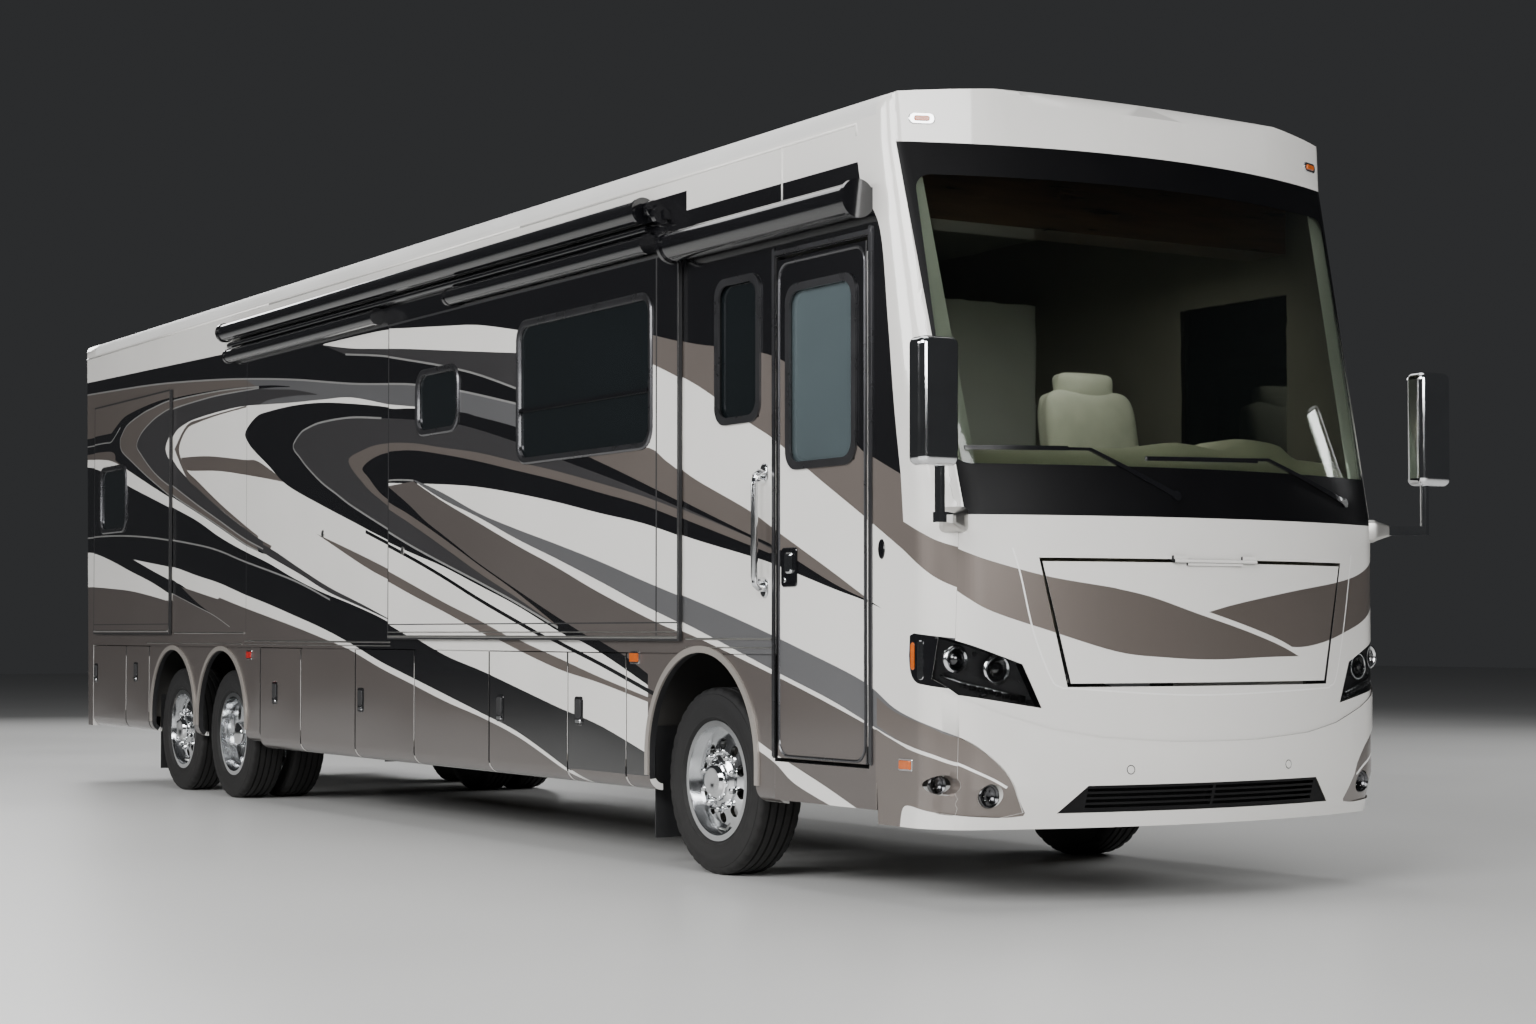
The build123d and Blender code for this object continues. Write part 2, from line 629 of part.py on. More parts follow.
def slide_room(side, panel, windows):
    """An outer panel with a box of floor, roof and ends behind it."""
    face_x = (HALF_WIDTH + RUN_GAP, HALF_WIDTH + SLIDE_PROUD)
    shape = side_block(side, face_x, panel)
    box = shrunk(panel, SLIDE_LAP + 10)
    depth_x = (HALF_WIDTH + RUN_GAP - SLIDE_DEPTH, HALF_WIDTH + RUN_GAP)
    shell = side_block(side, depth_x, box) - side_block(
        side, (depth_x[0] - 50, depth_x[1]), shrunk(box, SLIDE_WALL)
    )
    shape = shape + shell
    for window in windows:
        shape = shape - side_block(side, THROUGH, window)
    return shape


def slide_glass(side, windows):
    x = (HALF_WIDTH + RUN_GAP + 4, HALF_WIDTH + RUN_GAP + 14)
    return [side_block(side, x, window, FIT) for window in windows]


SLIDES = [
    ("mid_slide", -1, MID_SLIDE, [KITCHEN_WINDOW, LIVING_WINDOW]),
    ("rear_slide", -1, REAR_SLIDE, [BEDROOM_WINDOW]),
    ("left_slide", 1, LEFT_SLIDE, LEFT_SLIDE_WINDOWS),
]
runners = []
for name, side, panel, windows in SLIDES:
    save(name, slide_room(side, panel, windows))
    save(name + "_glass", slide_glass(side, windows))
    rear, front, low, high = shrunk(panel, SLIDE_LAP + 10)
    for y in (rear - 300, front + 300):
        runner_x = (side * (HALF_WIDTH - WALL), side * (HALF_WIDTH - SLIDE_DEPTH + 60))
        runners.append(block(runner_x, (y - RUNNER_WIDTH / 2, y + RUNNER_WIDTH / 2), (FLOOR_Z, low - FIT)))

# Cabin floor
STEP_WELL = (-HALF_WIDTH + WALL, -640.0)
floor = block(
    (-HALF_WIDTH + WALL, HALF_WIDTH - WALL), (FRONT_SEAM_Y + 8, REAR_SEAM_Y), (FLOOR_UNDER_Z, FLOOR_Z)
)
nose_floor = block((-900, 900), (-6120, FRONT_SEAM_Y + 8), (FLOOR_UNDER_Z, FLOOR_Z))
floor = floor + nose_floor
floor = floor - block((-HALF_WIDTH, STEP_WELL[1]), (FRONT_SEAM_Y - 10, ENTRY_DOOR_REAR_Y + 20), (1000, 1300))
save("cabin_floor", joined([floor] + runners))

# Entry steps
step_y = (ENTRY_DOOR_FRONT_Y, ENTRY_DOOR_REAR_Y + 10)
steps = along_y(
    [
        (-HALF_WIDTH + WALL + 6, 560), (-HALF_WIDTH + WALL + 6, 600), (-1010, 600), (-1010, 890),
        (-790, 890), (-790, FLOOR_Z - 10), (STEP_WELL[1] - FIT, FLOOR_Z - 10),
        (STEP_WELL[1] - FIT, FLOOR_UNDER_Z), (-740, FLOOR_UNDER_Z), (-740, 840), (-960, 840), (-960, 560),
    ],
    step_y,
)
save("entry_steps", steps)

# Chassis frame
chassis = []
for side in (-1, 1):
    rail_x = (side * (RAIL_X - RAIL_WIDTH / 2), side * (RAIL_X + RAIL_WIDTH / 2))
    chassis.append(block(rail_x, (RAIL_FRONT_Y, RAIL_REAR_Y), (RAIL_LOW_Z, RAIL_HIGH_Z)))
    for y in (-5500, -3000, -1000, 1000, 2300, 4900, 5900):
        chassis.append(block(rail_x, (y - 40, y + 40), (RAIL_HIGH_Z, FLOOR_UNDER_Z)))
for y in (RAIL_FRONT_Y + 60, -5000, -3100, -1100, 900, 2200, 3500, 4800, RAIL_REAR_Y - 60):
    chassis.append(block((-RAIL_X, RAIL_X), (y - 50, y + 50), (RAIL_LOW_Z + 20, RAIL_LOW_Z + 100)))
hitch_y = (RAIL_REAR_Y - 200, rear_y(480) + HITCH_REACH)
socket = block((-25.5, 25.5), (hitch_y[1] - 180, hitch_y[1] + 1), (454.5, 505.5))
hitch = block((-38, 38), hitch_y, (442, 518)) - socket
hitch_bar = block((-RAIL_X - 40, RAIL_X + 40), (RAIL_REAR_Y - 120, RAIL_REAR_Y - 40), (518, 600))
hitch = hitch - rod_x(PIN_BORE_RADIUS, (-60, 60), hitch_y[1] - 45, 480)
chassis += [hitch, hitch_bar]
for side in (-1, 1):
    for y in (RAIL_REAR_Y - 1080, RAIL_REAR_Y - 280):
        mount_x = (side * ENGINE_HALF_WIDTH, side * (RAIL_X - RAIL_WIDTH / 2))
        chassis.append(block(mount_x, (y - 45, y + 45), (RAIL_LOW_Z + 110, RAIL_LOW_Z + 190)))
save("chassis_frame", joined(chassis))
engine_y = (RAIL_REAR_Y - 1180, RAIL_REAR_Y - 180)
engine_z = (RAIL_LOW_Z + 105, FLOOR_UNDER_Z - 20)
save("engine_block", block((-ENGINE_HALF_WIDTH, ENGINE_HALF_WIDTH), engine_y, engine_z))

# Axles
EYE_Z = (400.0, 530.0)
axle_beam = block((-KINGPIN_X + 10, KINGPIN_X - 10), (FRONT_AXLE_Y - 45, FRONT_AXLE_Y + 45), (400, 530))
beam_dip = block((-RAIL_X + 120, RAIL_X - 120), (FRONT_AXLE_Y - 46, FRONT_AXLE_Y + 46), (480, 531))
axle_beam = axle_beam - beam_dip
for side in (-1, 1):
    axle_beam = axle_beam + rod_z(60, side * KINGPIN_X, FRONT_AXLE_Y, EYE_Z)
    axle_beam = axle_beam + rod_z(95, side * RAIL_X, FRONT_AXLE_Y, (530, RAIL_LOW_Z))
for side in (-1, 1):
    axle_beam = axle_beam - rod_z(KINGPIN_RADIUS + FIT, side * KINGPIN_X, FRONT_AXLE_Y, EYE_Z)
save("front_axle", axle_beam)

HUB_FACE_X = 70.0
rear_axles = []
for axle_y, end_x in ((DRIVE_AXLE_Y, SINGLE_X + HUB_FACE_X), (TAG_AXLE_Y, SINGLE_X + HUB_FACE_X)):
    hub_in = INNER_DUAL_X - 140 if axle_y == DRIVE_AXLE_Y else SINGLE_X - 150
    tube = rod_x(75, (-hub_in, hub_in), axle_y, TYRE_RADIUS)
    tube = tube + rod_x(SPINDLE_RADIUS, (-end_x, end_x), axle_y, TYRE_RADIUS)
    for side in (-1, 1):
        tube = tube + rod_z(80, side * RAIL_X, axle_y, (TYRE_RADIUS + 20, RAIL_LOW_Z))
    rear_axles.append(tube)
bowl = Pos(0, DRIVE_AXLE_Y, TYRE_RADIUS) * Rot(90, 0, 0) * Cylinder(190, 150)
rear_axles[0] = rear_axles[0] + bowl
save("rear_axles", rear_axles)

# Knuckles carry the front spindles
for side, name in ((-1, "right"), (1, "left")):
    kingpin = rod_z(KINGPIN_RADIUS, side * KINGPIN_X, FRONT_AXLE_Y, (360, 570))
    yoke_x = (side * (KINGPIN_X - 50), side * (KINGPIN_X + 100))
    low_arm = block(yoke_x, (FRONT_AXLE_Y - 45, FRONT_AXLE_Y + 45), (350, EYE_Z[0] - FIT))
    high_arm = block(yoke_x, (FRONT_AXLE_Y - 45, FRONT_AXLE_Y + 45), (EYE_Z[1] + FIT, 580))
    plate_x = (side * (KINGPIN_X + 66), side * (KINGPIN_X + 100))
    plate = block(plate_x, (FRONT_AXLE_Y - 45, FRONT_AXLE_Y + 45), (350, 580))
    spindle = rod_x(
        SPINDLE_RADIUS, (side * (KINGPIN_X + 90), side * (SINGLE_X + HUB_FACE_X)), FRONT_AXLE_Y, TYRE_RADIUS
    )
    save(f"knuckle_{name}", joined([kingpin, low_arm, high_arm, plate, spindle]))

# Wheels: a tyre is a revolved section, a rim has a dished disc with hand holes
FLANGE_RADIUS = 300.0
FLANGE_THICK = 3.6
DISC = 22.0
HUB_RADIUS = 130.0


def wheel_frame(side, y, x):
    """The place of a wheel whose outer face looks away from the body."""
    return Pos(side * x, y, TYRE_RADIUS) * Rot(0, 90 * side, 0)


def ring_of(points):
    """A solid of revolution about Z from (radius, height) points."""
    face = outline_face(lambda r, h: (r, 0, h), points[0], points[1:])
    return revolve(face, axis=Axis.Z)


def tyre_shape():
    half = TYRE_WIDTH / 2
    bead = RIM_WIDTH / 2 - FLANGE_THICK - FIT
    lip = FLANGE_RADIUS + FIT
    return ring_of([
        (RIM_RADIUS + FIT, -bead), (lip, -bead), (lip + 8, -bead - 9),
        ((TYRE_RADIUS - 88, -half), (TYRE_RADIUS - 34, -half + 5)),
        ((TYRE_RADIUS - 10, -half + 13), (TYRE_RADIUS, -half + 32)), (TYRE_RADIUS, half - 32),
        ((TYRE_RADIUS - 10, half - 13), (TYRE_RADIUS - 34, half - 5)),
        ((TYRE_RADIUS - 88, half), (lip + 8, bead + 9)), (lip, bead), (RIM_RADIUS + FIT, bead),
    ])


def rim_shape(disc_at):
    """A rim whose disc sits at one height along the axle, hub outwards."""
    half = RIM_WIDTH / 2
    barrel = ring_of([
        (RIM_RADIUS - 14, -half), (FLANGE_RADIUS, -half), (FLANGE_RADIUS, -half + FLANGE_THICK),
        (RIM_RADIUS, -half + FLANGE_THICK), (RIM_RADIUS, half - FLANGE_THICK),
        (FLANGE_RADIUS, half - FLANGE_THICK), (FLANGE_RADIUS, half), (RIM_RADIUS - 14, half),
    ])
    front = disc_at + DISC / 2
    dish = [(40, front), (150, front), (212, front - 14), (RIM_RADIUS - 8, front - 34)]
    disc = ring_of(dish + [(r, h - DISC) for r, h in reversed(dish)])
    hub = ring_of([
        (40, disc_at - 65), (HUB_RADIUS, disc_at - 65), (HUB_RADIUS, front + 6), (112, front + 14),
        (100, front + 20), (94, front + 30), ((86, front + 37), (74, front + 40)), (40, front + 40),
    ])
    shape = barrel + disc + hub
    for number in range(HAND_HOLES):
        angle = 2 * math.pi * number / HAND_HOLES
        x = HAND_HOLE_PITCH * math.cos(angle)
        y = HAND_HOLE_PITCH * math.sin(angle)
        shape = shape - Pos(x, y, disc_at) * Cylinder(HAND_HOLE_RADIUS, 3 * DISC)
    return shape - Cylinder(SPINDLE_RADIUS + FIT, 900)


# Wheel sets: name, side, axle Y, dual
WHEEL_SETS = [
    ("front_right", -1, FRONT_AXLE_Y, False),
    ("front_left", 1, FRONT_AXLE_Y, False),
    ("drive_right", -1, DRIVE_AXLE_Y, True),
    ("drive_left", 1, DRIVE_AXLE_Y, True),
    ("tag_right", -1, TAG_AXLE_Y, False),
    ("tag_left", 1, TAG_AXLE_Y, False),
]
FRONT_DISC = 62.0
REAR_DISC = -62.0
for name, side, y, dual in WHEEL_SETS:
    disc_at = FRONT_DISC if y != DRIVE_AXLE_Y else REAR_DISC
    tyres = [wheel_frame(side, y, SINGLE_X) * tyre_shape()]
    rims = wheel_frame(side, y, SINGLE_X) * rim_shape(disc_at)
    if dual:
        tyres.append(wheel_frame(side, y, INNER_DUAL_X) * tyre_shape())
        drum_x = (side * (INNER_DUAL_X - 60), side * (SINGLE_X - 62))
        drum = rod_x(HUB_RADIUS, drum_x, y, TYRE_RADIUS) - rod_x(SPINDLE_RADIUS + FIT, drum_x, y, TYRE_RADIUS)
        hub_x = (side * (INNER_DUAL_X - 200), side * (INNER_DUAL_X - 130))
        drum = drum - rod_x(75 + RUN_GAP, hub_x, y, TYRE_RADIUS)
        rims = rims + wheel_frame(side, y, INNER_DUAL_X) * rim_shape(-REAR_DISC) + drum
    save(f"{name}_tyre", tyres)
    save(f"{name}_rim", rims)

# Bright trim: wheel arch lips and the entry grab handle
trims = []
for side in (-1, 1):
    band = (side * (HALF_WIDTH + FIT), side * (HALF_WIDTH + ARCH_TRIM_PROUD))
    for centres, radius, top, foot in (
        ([FRONT_AXLE_Y], FRONT_ARCH_RADIUS, FRONT_ARCH_TOP_Z, SKIRT_Z + SKIRT_ROLL),
        ([DRIVE_ARCH_Y, TAG_ARCH_Y], REAR_ARCH_RADIUS, REAR_ARCH_TOP_Z, REAR_SKIRT_Z + SKIRT_ROLL),
    ):
        solid = []
        hole = []
        for y in centres:
            solid.append(rod_x(radius + ARCH_TRIM, band, y, top - radius))
            solid.append(block(band, (y - radius - ARCH_TRIM, y + radius + ARCH_TRIM), (foot, top - radius)))
            hole.append(rod_x(radius, (side * 1200, side * 1400), y, top - radius))
            hole.append(block((side * 1200, side * 1400), (y - radius, y + radius), (0, top - radius)))
        lip = joined(solid) - joined(hole)
        lip = lip - block((side * 1200, side * 1400), (-7000, 7000), (0, foot))
        trims.append(lip)
handle = rod_z(13, -HALF_WIDTH - 62, -4660, (1440, 1940))
for z in (1453, 1927):
    handle = handle + rod_x(13, (-HALF_WIDTH - 62, -HALF_WIDTH - FIT), -4660, z)
trims.append(handle)
save("bright_trim", trims)

# Side windows of the fixed walls
glass_x = (HALF_WIDTH - 22, HALF_WIDTH - 12)
side_windows = []
for side, opening in ((-1, SMALL_WINDOW), (1, DRIVER_WINDOW), (1, LEFT_REAR_WINDOW)):
    side_windows += [side_block(side, glass_x, opening, FIT), window_frame(side, HALF_WIDTH, opening)]
save("side_windows", side_windows)

# Lamps
# marker lamps: x sign, y, z, half length along Y, half height
MARKERS = [
    (-1, -3365.0, 1074.0, 38.0, 22.0),
    (-1, 2354.0, 1045.0, 38.0, 22.0),
    (1, -3365.0, 1074.0, 38.0, 22.0),
    (1, 2354.0, 1045.0, 38.0, 22.0),
]
for side, y, z, half_long, half_high in MARKERS:
    marker_x = (side * (HALF_WIDTH + FIT), side * (HALF_WIDTH + 16))
    lamps.append(block(marker_x, (y - half_long, y + half_long), (z - half_high, z + half_high)))
for side in (-1, 1):
    for z, high in ((980, 110), (1240, 110)):
        lamps.append(along_x(
            [
                (rear_y(z - high) + FIT, z - high), (rear_y(z + high) + FIT, z + high),
                (rear_y(z + high) + 22, z + high), (rear_y(z - high) + 22, z - high),
            ],
            (min(side * 1000, side * 1160), max(side * 1000, side * 1160)),
        ))
save("lamps", lamps)

# Mirrors on arms from the front corners
MIRROR_X = 1450.0
MIRROR_Y = -6264.0
MIRROR_HALF_WIDTH = 100.0
MIRROR_HALF_DEPTH = 60.0
MIRROR_LOW_Z = 1905.0
MIRROR_HIGH_Z = 2450.0
ARM_Z = 1690.0
ARM_ROOT = (1150.0, -6030.0)
cap_skin = cap_body(-FIT, FRONT_SEAM_Y)
mirrors = []
for side in (-1, 1):
    head = block(
        (side * (MIRROR_X - MIRROR_HALF_WIDTH), side * (MIRROR_X + MIRROR_HALF_WIDTH)),
        (MIRROR_Y - MIRROR_HALF_DEPTH, MIRROR_Y + MIRROR_HALF_DEPTH), (MIRROR_LOW_Z, MIRROR_HIGH_Z),
    )
    head = fillet(head.edges(), 35)
    reach_x = MIRROR_X - 30 - ARM_ROOT[0]
    reach_y = MIRROR_Y - ARM_ROOT[1]
    turn = math.degrees(math.atan2(reach_y, side * reach_x))
    middle = Pos(side * (ARM_ROOT[0] + reach_x / 2), ARM_ROOT[1] + reach_y / 2, ARM_Z)
    arm = middle * Rot(0, 0, turn) * Box(math.hypot(reach_x, reach_y), 60, 44)
    post = rod_z(22, side * (MIRROR_X - 30), MIRROR_Y, (ARM_Z - 22, MIRROR_LOW_Z + 20))
    mirrors.append(joined([head, arm - cap_skin, post]))
save("mirrors", mirrors)

# Wipers lie on the windshield: pivot, elbow, blade tip and blade heel as (X, Z)
WIPER_PROUD = 17.0
WIPERS = [
    ((-204.0, 1809.0), (-610.0, 2006.0), (-1165.0, 2004.0), (-718.0, 2008.0)),
    ((944.0, 1814.0), (392.0, 1992.0), (-334.0, 1972.0), (314.0, 1984.0)),
]


def strip(start, end, wide_start, wide_end):
    """The (X, Z) outline of a tapered bar between two points."""
    length = math.hypot(end[0] - start[0], end[1] - start[1])
    across = ((start[1] - end[1]) / length / 2, (end[0] - start[0]) / length / 2)
    corners = [(start, wide_start), (end, wide_end), (end, -wide_end), (start, -wide_start)]
    return [(p[0] + across[0] * wide, p[1] + across[1] * wide) for p, wide in corners]


wiper_shell = cap_body(-WIPER_PROUD, FRONT_SEAM_Y) - cap_skin
front_y = (NOSE_Y - 60, NOSE_Y + 400)
wipers = []
for pivot, elbow, tip, heel in WIPERS:
    middle = ((tip[0] + heel[0]) / 2, (tip[1] + heel[1]) / 2)
    boss = rod_y(22, pivot[0], front_y, pivot[1])
    arm = front_prism(strip(pivot, elbow, 26, 14)) + front_prism(strip(elbow, middle, 14, 12))
    blade = front_prism(strip(tip, heel, 20, 20))
    knee = rod_y(7, elbow[0], front_y, elbow[1])
    wipers.append(wiper_shell & (boss + arm + knee + blade))
save("wipers", wipers)

# Cab interior
DASH_TOP = [
    (-6070, FLOOR_Z), (-6070, 1640), ((-5960, 1705), (-5790, 1690)), ((-5690, 1640), (-5670, 1500)),
    (-5720, 1440), (-5720, FLOOR_Z),
]
dash = along_x(DASH_TOP, (-880, 880))
binnacle = Pos(600, -5780, 1690) * scale(Sphere(1), (300, 150, 85))
DRIVER_X = 600.0
wheel_place = Pos(DRIVER_X, -5530, 1690) * Rot(-35, 0, 0)
steering = wheel_place * (Torus(215, 15) + Cylinder(60, 34) + Box(424, 44, 14))
column = wheel_place * Pos(0, 0, -150) * Cylinder(26, 300)
save("dashboard", joined([dash, binnacle, column, steering]))

# armchair centres across the cab
SEATS = (-560.0, 600.0)
seats = []
for x in SEATS:
    base = block((x - 130, x + 130), (-5120, -4820), (FLOOR_Z, 1520))
    cushion = block((x - 270, x + 270), (-5260, -4760), (1520, 1670))
    cushion = fillet(cushion.edges(), 45)
    back = along_x(
        [
            (-4870, 1620), (-4770, 1620), ((-4700, 2000), (-4645, 2330)), ((-4665, 2385), (-4715, 2370)),
            ((-4810, 2000), (-4870, 1650)),
        ],
        (x - 255, x + 255),
    )
    arms = [block((x + k * 250, x + k * 335), (-5180, -4800), (1575, 1740)) for k in (-1, 1)]
    arms = [fillet(arm.edges(), 25) for arm in arms]
    rest = fillet(block((x - 140, x + 140), (-4740, -4640), (2340, 2540)).edges(), 35)
    seats.append(joined([base, cushion, back, rest] + arms))
save("cab_seats", seats)

save("cabinets", block((-1150, 1150), (-5600, -5330), (3080, CEILING_Z)))

# Awnings along the door side: a case with end discs, its backing rail, and two slide covers
AWNING_GAP = 12.0
# y range, z, radius, end disc radius
AWNINGS = [
    ((-3560.0, 2750.0), 3370.0, 62.0, 70.0),
    ((-3545.0, 2735.0), 3280.0, 24.0, 24.0),
    ((-5582.0, MID_SLIDE[1] - AWNING_GAP), 3142.0, 78.0, 88.0),
    ((-3590.0, -1130.0), 3197.0, 48.0, 53.0),
    ((-50.0, 2690.0), 3197.0, 48.0, 53.0),
]
END_DISC = 26.0
awnings = []
for y, z, radius, end_radius in AWNINGS:
    x = -HALF_WIDTH - FIT - radius
    case = rod_y(radius, x, y, z) + block((x, -HALF_WIDTH - FIT), y, (z - radius * 0.7, z + radius * 0.7))
    for end in ((y[0], y[0] + END_DISC), (y[1] - END_DISC, y[1])):
        disc_space = block((x - end_radius, -HALF_WIDTH - FIT), end, (z - 90, z + 90))
        disc = rod_y(end_radius, x, end, z) & disc_space
        case = case + disc
    awnings.append(case)
patio_y = AWNINGS[0][0][0]
for knob_y, knob_z in ((patio_y - 64, 3372.0), (patio_y - 140, 3330.0)):
    knob = rod_y(44, -HALF_WIDTH - FIT - 44, (knob_y - 18, knob_y + 18), knob_z)
    arm_x = (-HALF_WIDTH - 40, -HALF_WIDTH - FIT)
    arm = block(arm_x, (knob_y - 30, patio_y - FIT), (knob_z - 22, knob_z + 22))
    awnings.append(knob + arm)
save("awnings", [joined(awnings[5:])] + awnings[:5])

# Roof air conditioners
units = []
for y in (-3900.0, 500.0, 4600.0):
    unit = block((-350, 350), (y - 420, y + 420), (ROOF_CROWN_Z - 25, ROOF_CROWN_Z + 230))
    unit = fillet(unit.edges().filter_by(Axis.Z), 90)
    units.append(unit - hull)
save("air_conditioners", units)

# Mud flaps hang against the bulkheads behind the wheels
# bulkhead Y, inner X
MUD_FLAPS = [(FRONT_FLAP_Y, 880.0), (REAR_FLAP_Y, 680.0)]
FLAP_THICK = 8.0
FLAP_LOW_Z = 140.0
FLAP_HIGH_Z = 720.0
flaps = []
for side in (-1, 1):
    for bulkhead_y, inner_x in MUD_FLAPS:
        back = bulkhead_y - BULKHEAD / 2 - FIT
        flap_x = (side * inner_x, side * 1210)
        flaps.append(block(flap_x, (back - FLAP_THICK, back), (FLAP_LOW_Z, FLAP_HIGH_Z)))
save("mud_flaps", flaps)
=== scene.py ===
import json
import math

import bmesh
import bpy
from mathutils import Matrix, Vector
from mathutils.bvhtree import BVHTree
from mathutils.geometry import delaunay_2d_cdt


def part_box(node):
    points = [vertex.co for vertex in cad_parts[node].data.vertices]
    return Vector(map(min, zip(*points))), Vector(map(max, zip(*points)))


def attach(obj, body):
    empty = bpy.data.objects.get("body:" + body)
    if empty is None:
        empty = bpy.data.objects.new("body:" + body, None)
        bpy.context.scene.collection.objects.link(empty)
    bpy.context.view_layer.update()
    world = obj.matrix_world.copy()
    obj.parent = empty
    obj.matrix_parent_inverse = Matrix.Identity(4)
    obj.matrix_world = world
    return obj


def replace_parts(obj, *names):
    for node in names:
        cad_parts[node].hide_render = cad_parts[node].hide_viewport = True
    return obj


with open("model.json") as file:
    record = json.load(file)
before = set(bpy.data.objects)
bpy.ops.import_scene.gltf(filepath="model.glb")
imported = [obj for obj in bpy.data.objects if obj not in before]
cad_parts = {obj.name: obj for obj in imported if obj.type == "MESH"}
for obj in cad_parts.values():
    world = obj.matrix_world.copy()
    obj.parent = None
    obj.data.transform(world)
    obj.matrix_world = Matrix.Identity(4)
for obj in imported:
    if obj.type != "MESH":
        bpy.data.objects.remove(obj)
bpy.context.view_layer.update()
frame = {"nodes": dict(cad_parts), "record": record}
NODES = frame["nodes"]
BODY_OF = {node: body for body, nodes in frame["record"]["behaviour"]["bodies"].items() for node in nodes}

# Camera at the photograph's viewing angle
camera_data = bpy.data.cameras.new("camera")
camera = bpy.data.objects.new("camera", camera_data)
bpy.context.scene.collection.objects.link(camera)
bpy.context.scene.camera = camera
camera.location = (-7.672, -15.081, 1.203)
camera.rotation_euler = (math.radians(90 + 1.46), 0, math.radians(-31.5))
camera_data.lens = 60.05
camera_data.sensor_width = 36
camera_data.shift_y = 0.036
camera_data.clip_end = 200
camera_data.dof.use_dof = False


# Materials
def material(name, colour, rough, metal=0.0, coat=0.0, mottle=(0.04, 2, 0.04), grain=(0, 300),
             stretch=(1, 1, 1), dust=0.0, **sockets):
    """A procedural finish. mottle: how much the colour varies, its scale, how much the gloss varies.
    grain: the surface bump's strength and scale. dust: a film that thickens towards the ground."""
    vary, scale, rough_vary = mottle
    bump, bump_scale = grain
    made = bpy.data.materials.new(name)
    made.use_nodes = True
    nodes, links = made.node_tree.nodes, made.node_tree.links
    shader = nodes["Principled BSDF"]
    place = nodes.new("ShaderNodeTexCoord")
    mapping = nodes.new("ShaderNodeMapping")
    mapping.inputs["Scale"].default_value = stretch
    links.new(place.outputs["Object"], mapping.inputs["Vector"])
    noise = nodes.new("ShaderNodeTexNoise")
    noise.inputs["Scale"].default_value = scale
    noise.inputs["Detail"].default_value = 4
    links.new(mapping.outputs[0], noise.inputs["Vector"])
    ramp = nodes.new("ShaderNodeValToRGB")
    ramp.color_ramp.elements[0].position = 0.3
    ramp.color_ramp.elements[1].position = 0.7
    ramp.color_ramp.elements[0].color = (*[c * (1 - vary) for c in colour], 1)
    ramp.color_ramp.elements[1].color = (*[min(1, c * (1 + vary)) for c in colour], 1)
    links.new(noise.outputs["Fac"], ramp.inputs["Fac"])
    base = ramp.outputs["Color"]
    if dust:
        height = nodes.new("ShaderNodeSeparateXYZ")
        links.new(place.outputs["Object"], height.inputs[0])
        low = nodes.new("ShaderNodeMapRange")
        for socket, value in (("From Min", 0.95), ("From Max", 0.3), ("To Min", 0.0), ("To Max", dust)):
            low.inputs[socket].default_value = value
        links.new(height.outputs["Z"], low.inputs["Value"])
        film = nodes.new("ShaderNodeMath")
        film.operation = "MULTIPLY"
        links.new(low.outputs[0], film.inputs[0])
        links.new(noise.outputs["Fac"], film.inputs[1])
        mix = nodes.new("ShaderNodeMix")
        mix.data_type = "RGBA"
        mix.inputs[7].default_value = (0.22, 0.2, 0.17, 1)
        links.new(film.outputs[0], mix.inputs[0])
        links.new(base, mix.inputs[6])
        base = mix.outputs[2]
    links.new(base, shader.inputs["Base Color"])
    spread = nodes.new("ShaderNodeMapRange")
    spread.inputs["To Min"].default_value = max(0.02, rough - rough_vary)
    spread.inputs["To Max"].default_value = rough + rough_vary
    links.new(noise.outputs["Fac"], spread.inputs["Value"])
    links.new(spread.outputs[0], shader.inputs["Roughness"])
    shader.inputs["Metallic"].default_value = metal
    shader.inputs["Coat Weight"].default_value = coat
    shader.inputs["Coat Roughness"].default_value = 0.04
    for socket, value in sockets.items():
        shader.inputs[socket.replace("_", " ")].default_value = value
    if bump:
        grain = nodes.new("ShaderNodeTexNoise")
        grain.inputs["Scale"].default_value = bump_scale
        links.new(mapping.outputs[0], grain.inputs["Vector"])
        relief = nodes.new("ShaderNodeBump")
        relief.inputs["Strength"].default_value = bump
        relief.inputs["Distance"].default_value = 0.002
        links.new(grain.outputs["Fac"], relief.inputs["Height"])
        links.new(relief.outputs[0], shader.inputs["Normal"])
    return made


def paint(name, colour, metal=0.0, rough=0.32):
    return material(name, colour, rough, metal, coat=1.0, mottle=(0.035, 0.8, 0.04), grain=(0.03, 40),
                    dust=0.06)


WHITE = paint("paint_white", (0.76, 0.745, 0.715))
BLACK = paint("paint_black", (0.004, 0.004, 0.005), rough=0.2)
TAUPE = paint("paint_taupe", (0.165, 0.14, 0.125), 0.55, 0.38)
DEEP_TAUPE = paint("paint_deep_taupe", (0.12, 0.103, 0.095), 0.5, 0.38)
STEEL = paint("paint_steel", (0.17, 0.17, 0.175), 0.6, 0.38)
CHARCOAL = paint("paint_charcoal", (0.045, 0.043, 0.045), 0.4, 0.35)
SILVER = paint("paint_silver", (0.55, 0.545, 0.53), 0.7, 0.3)
PEARL = paint("paint_pearl", (0.36, 0.33, 0.30), 0.45, 0.35)
# Pale paint drawn along moulded creases: a painted highlight
CREASE_HIGHLIGHT = paint("painted_crease_highlight", (0.9, 0.89, 0.87))
CHROME = material("chrome", (0.78, 0.79, 0.8), 0.06, 1.0, mottle=(0.04, 8, 0.03), grain=(0.02, 30))
POLISHED = material("polished_aluminium", (0.7, 0.71, 0.72), 0.14, 1.0, mottle=(0.04, 14, 0.05),
                    grain=(0.01, 120))
BORDER = material("ceramic_border", (0.003, 0.003, 0.0035), 0.4, mottle=(0.1, 4, 0.04),
                  Specular_IOR_Level=0.12)
SATIN = material("satin_trim", (0.5, 0.49, 0.47), 0.3, 1.0, mottle=(0.04, 6, 0.06), grain=(0.03, 90))
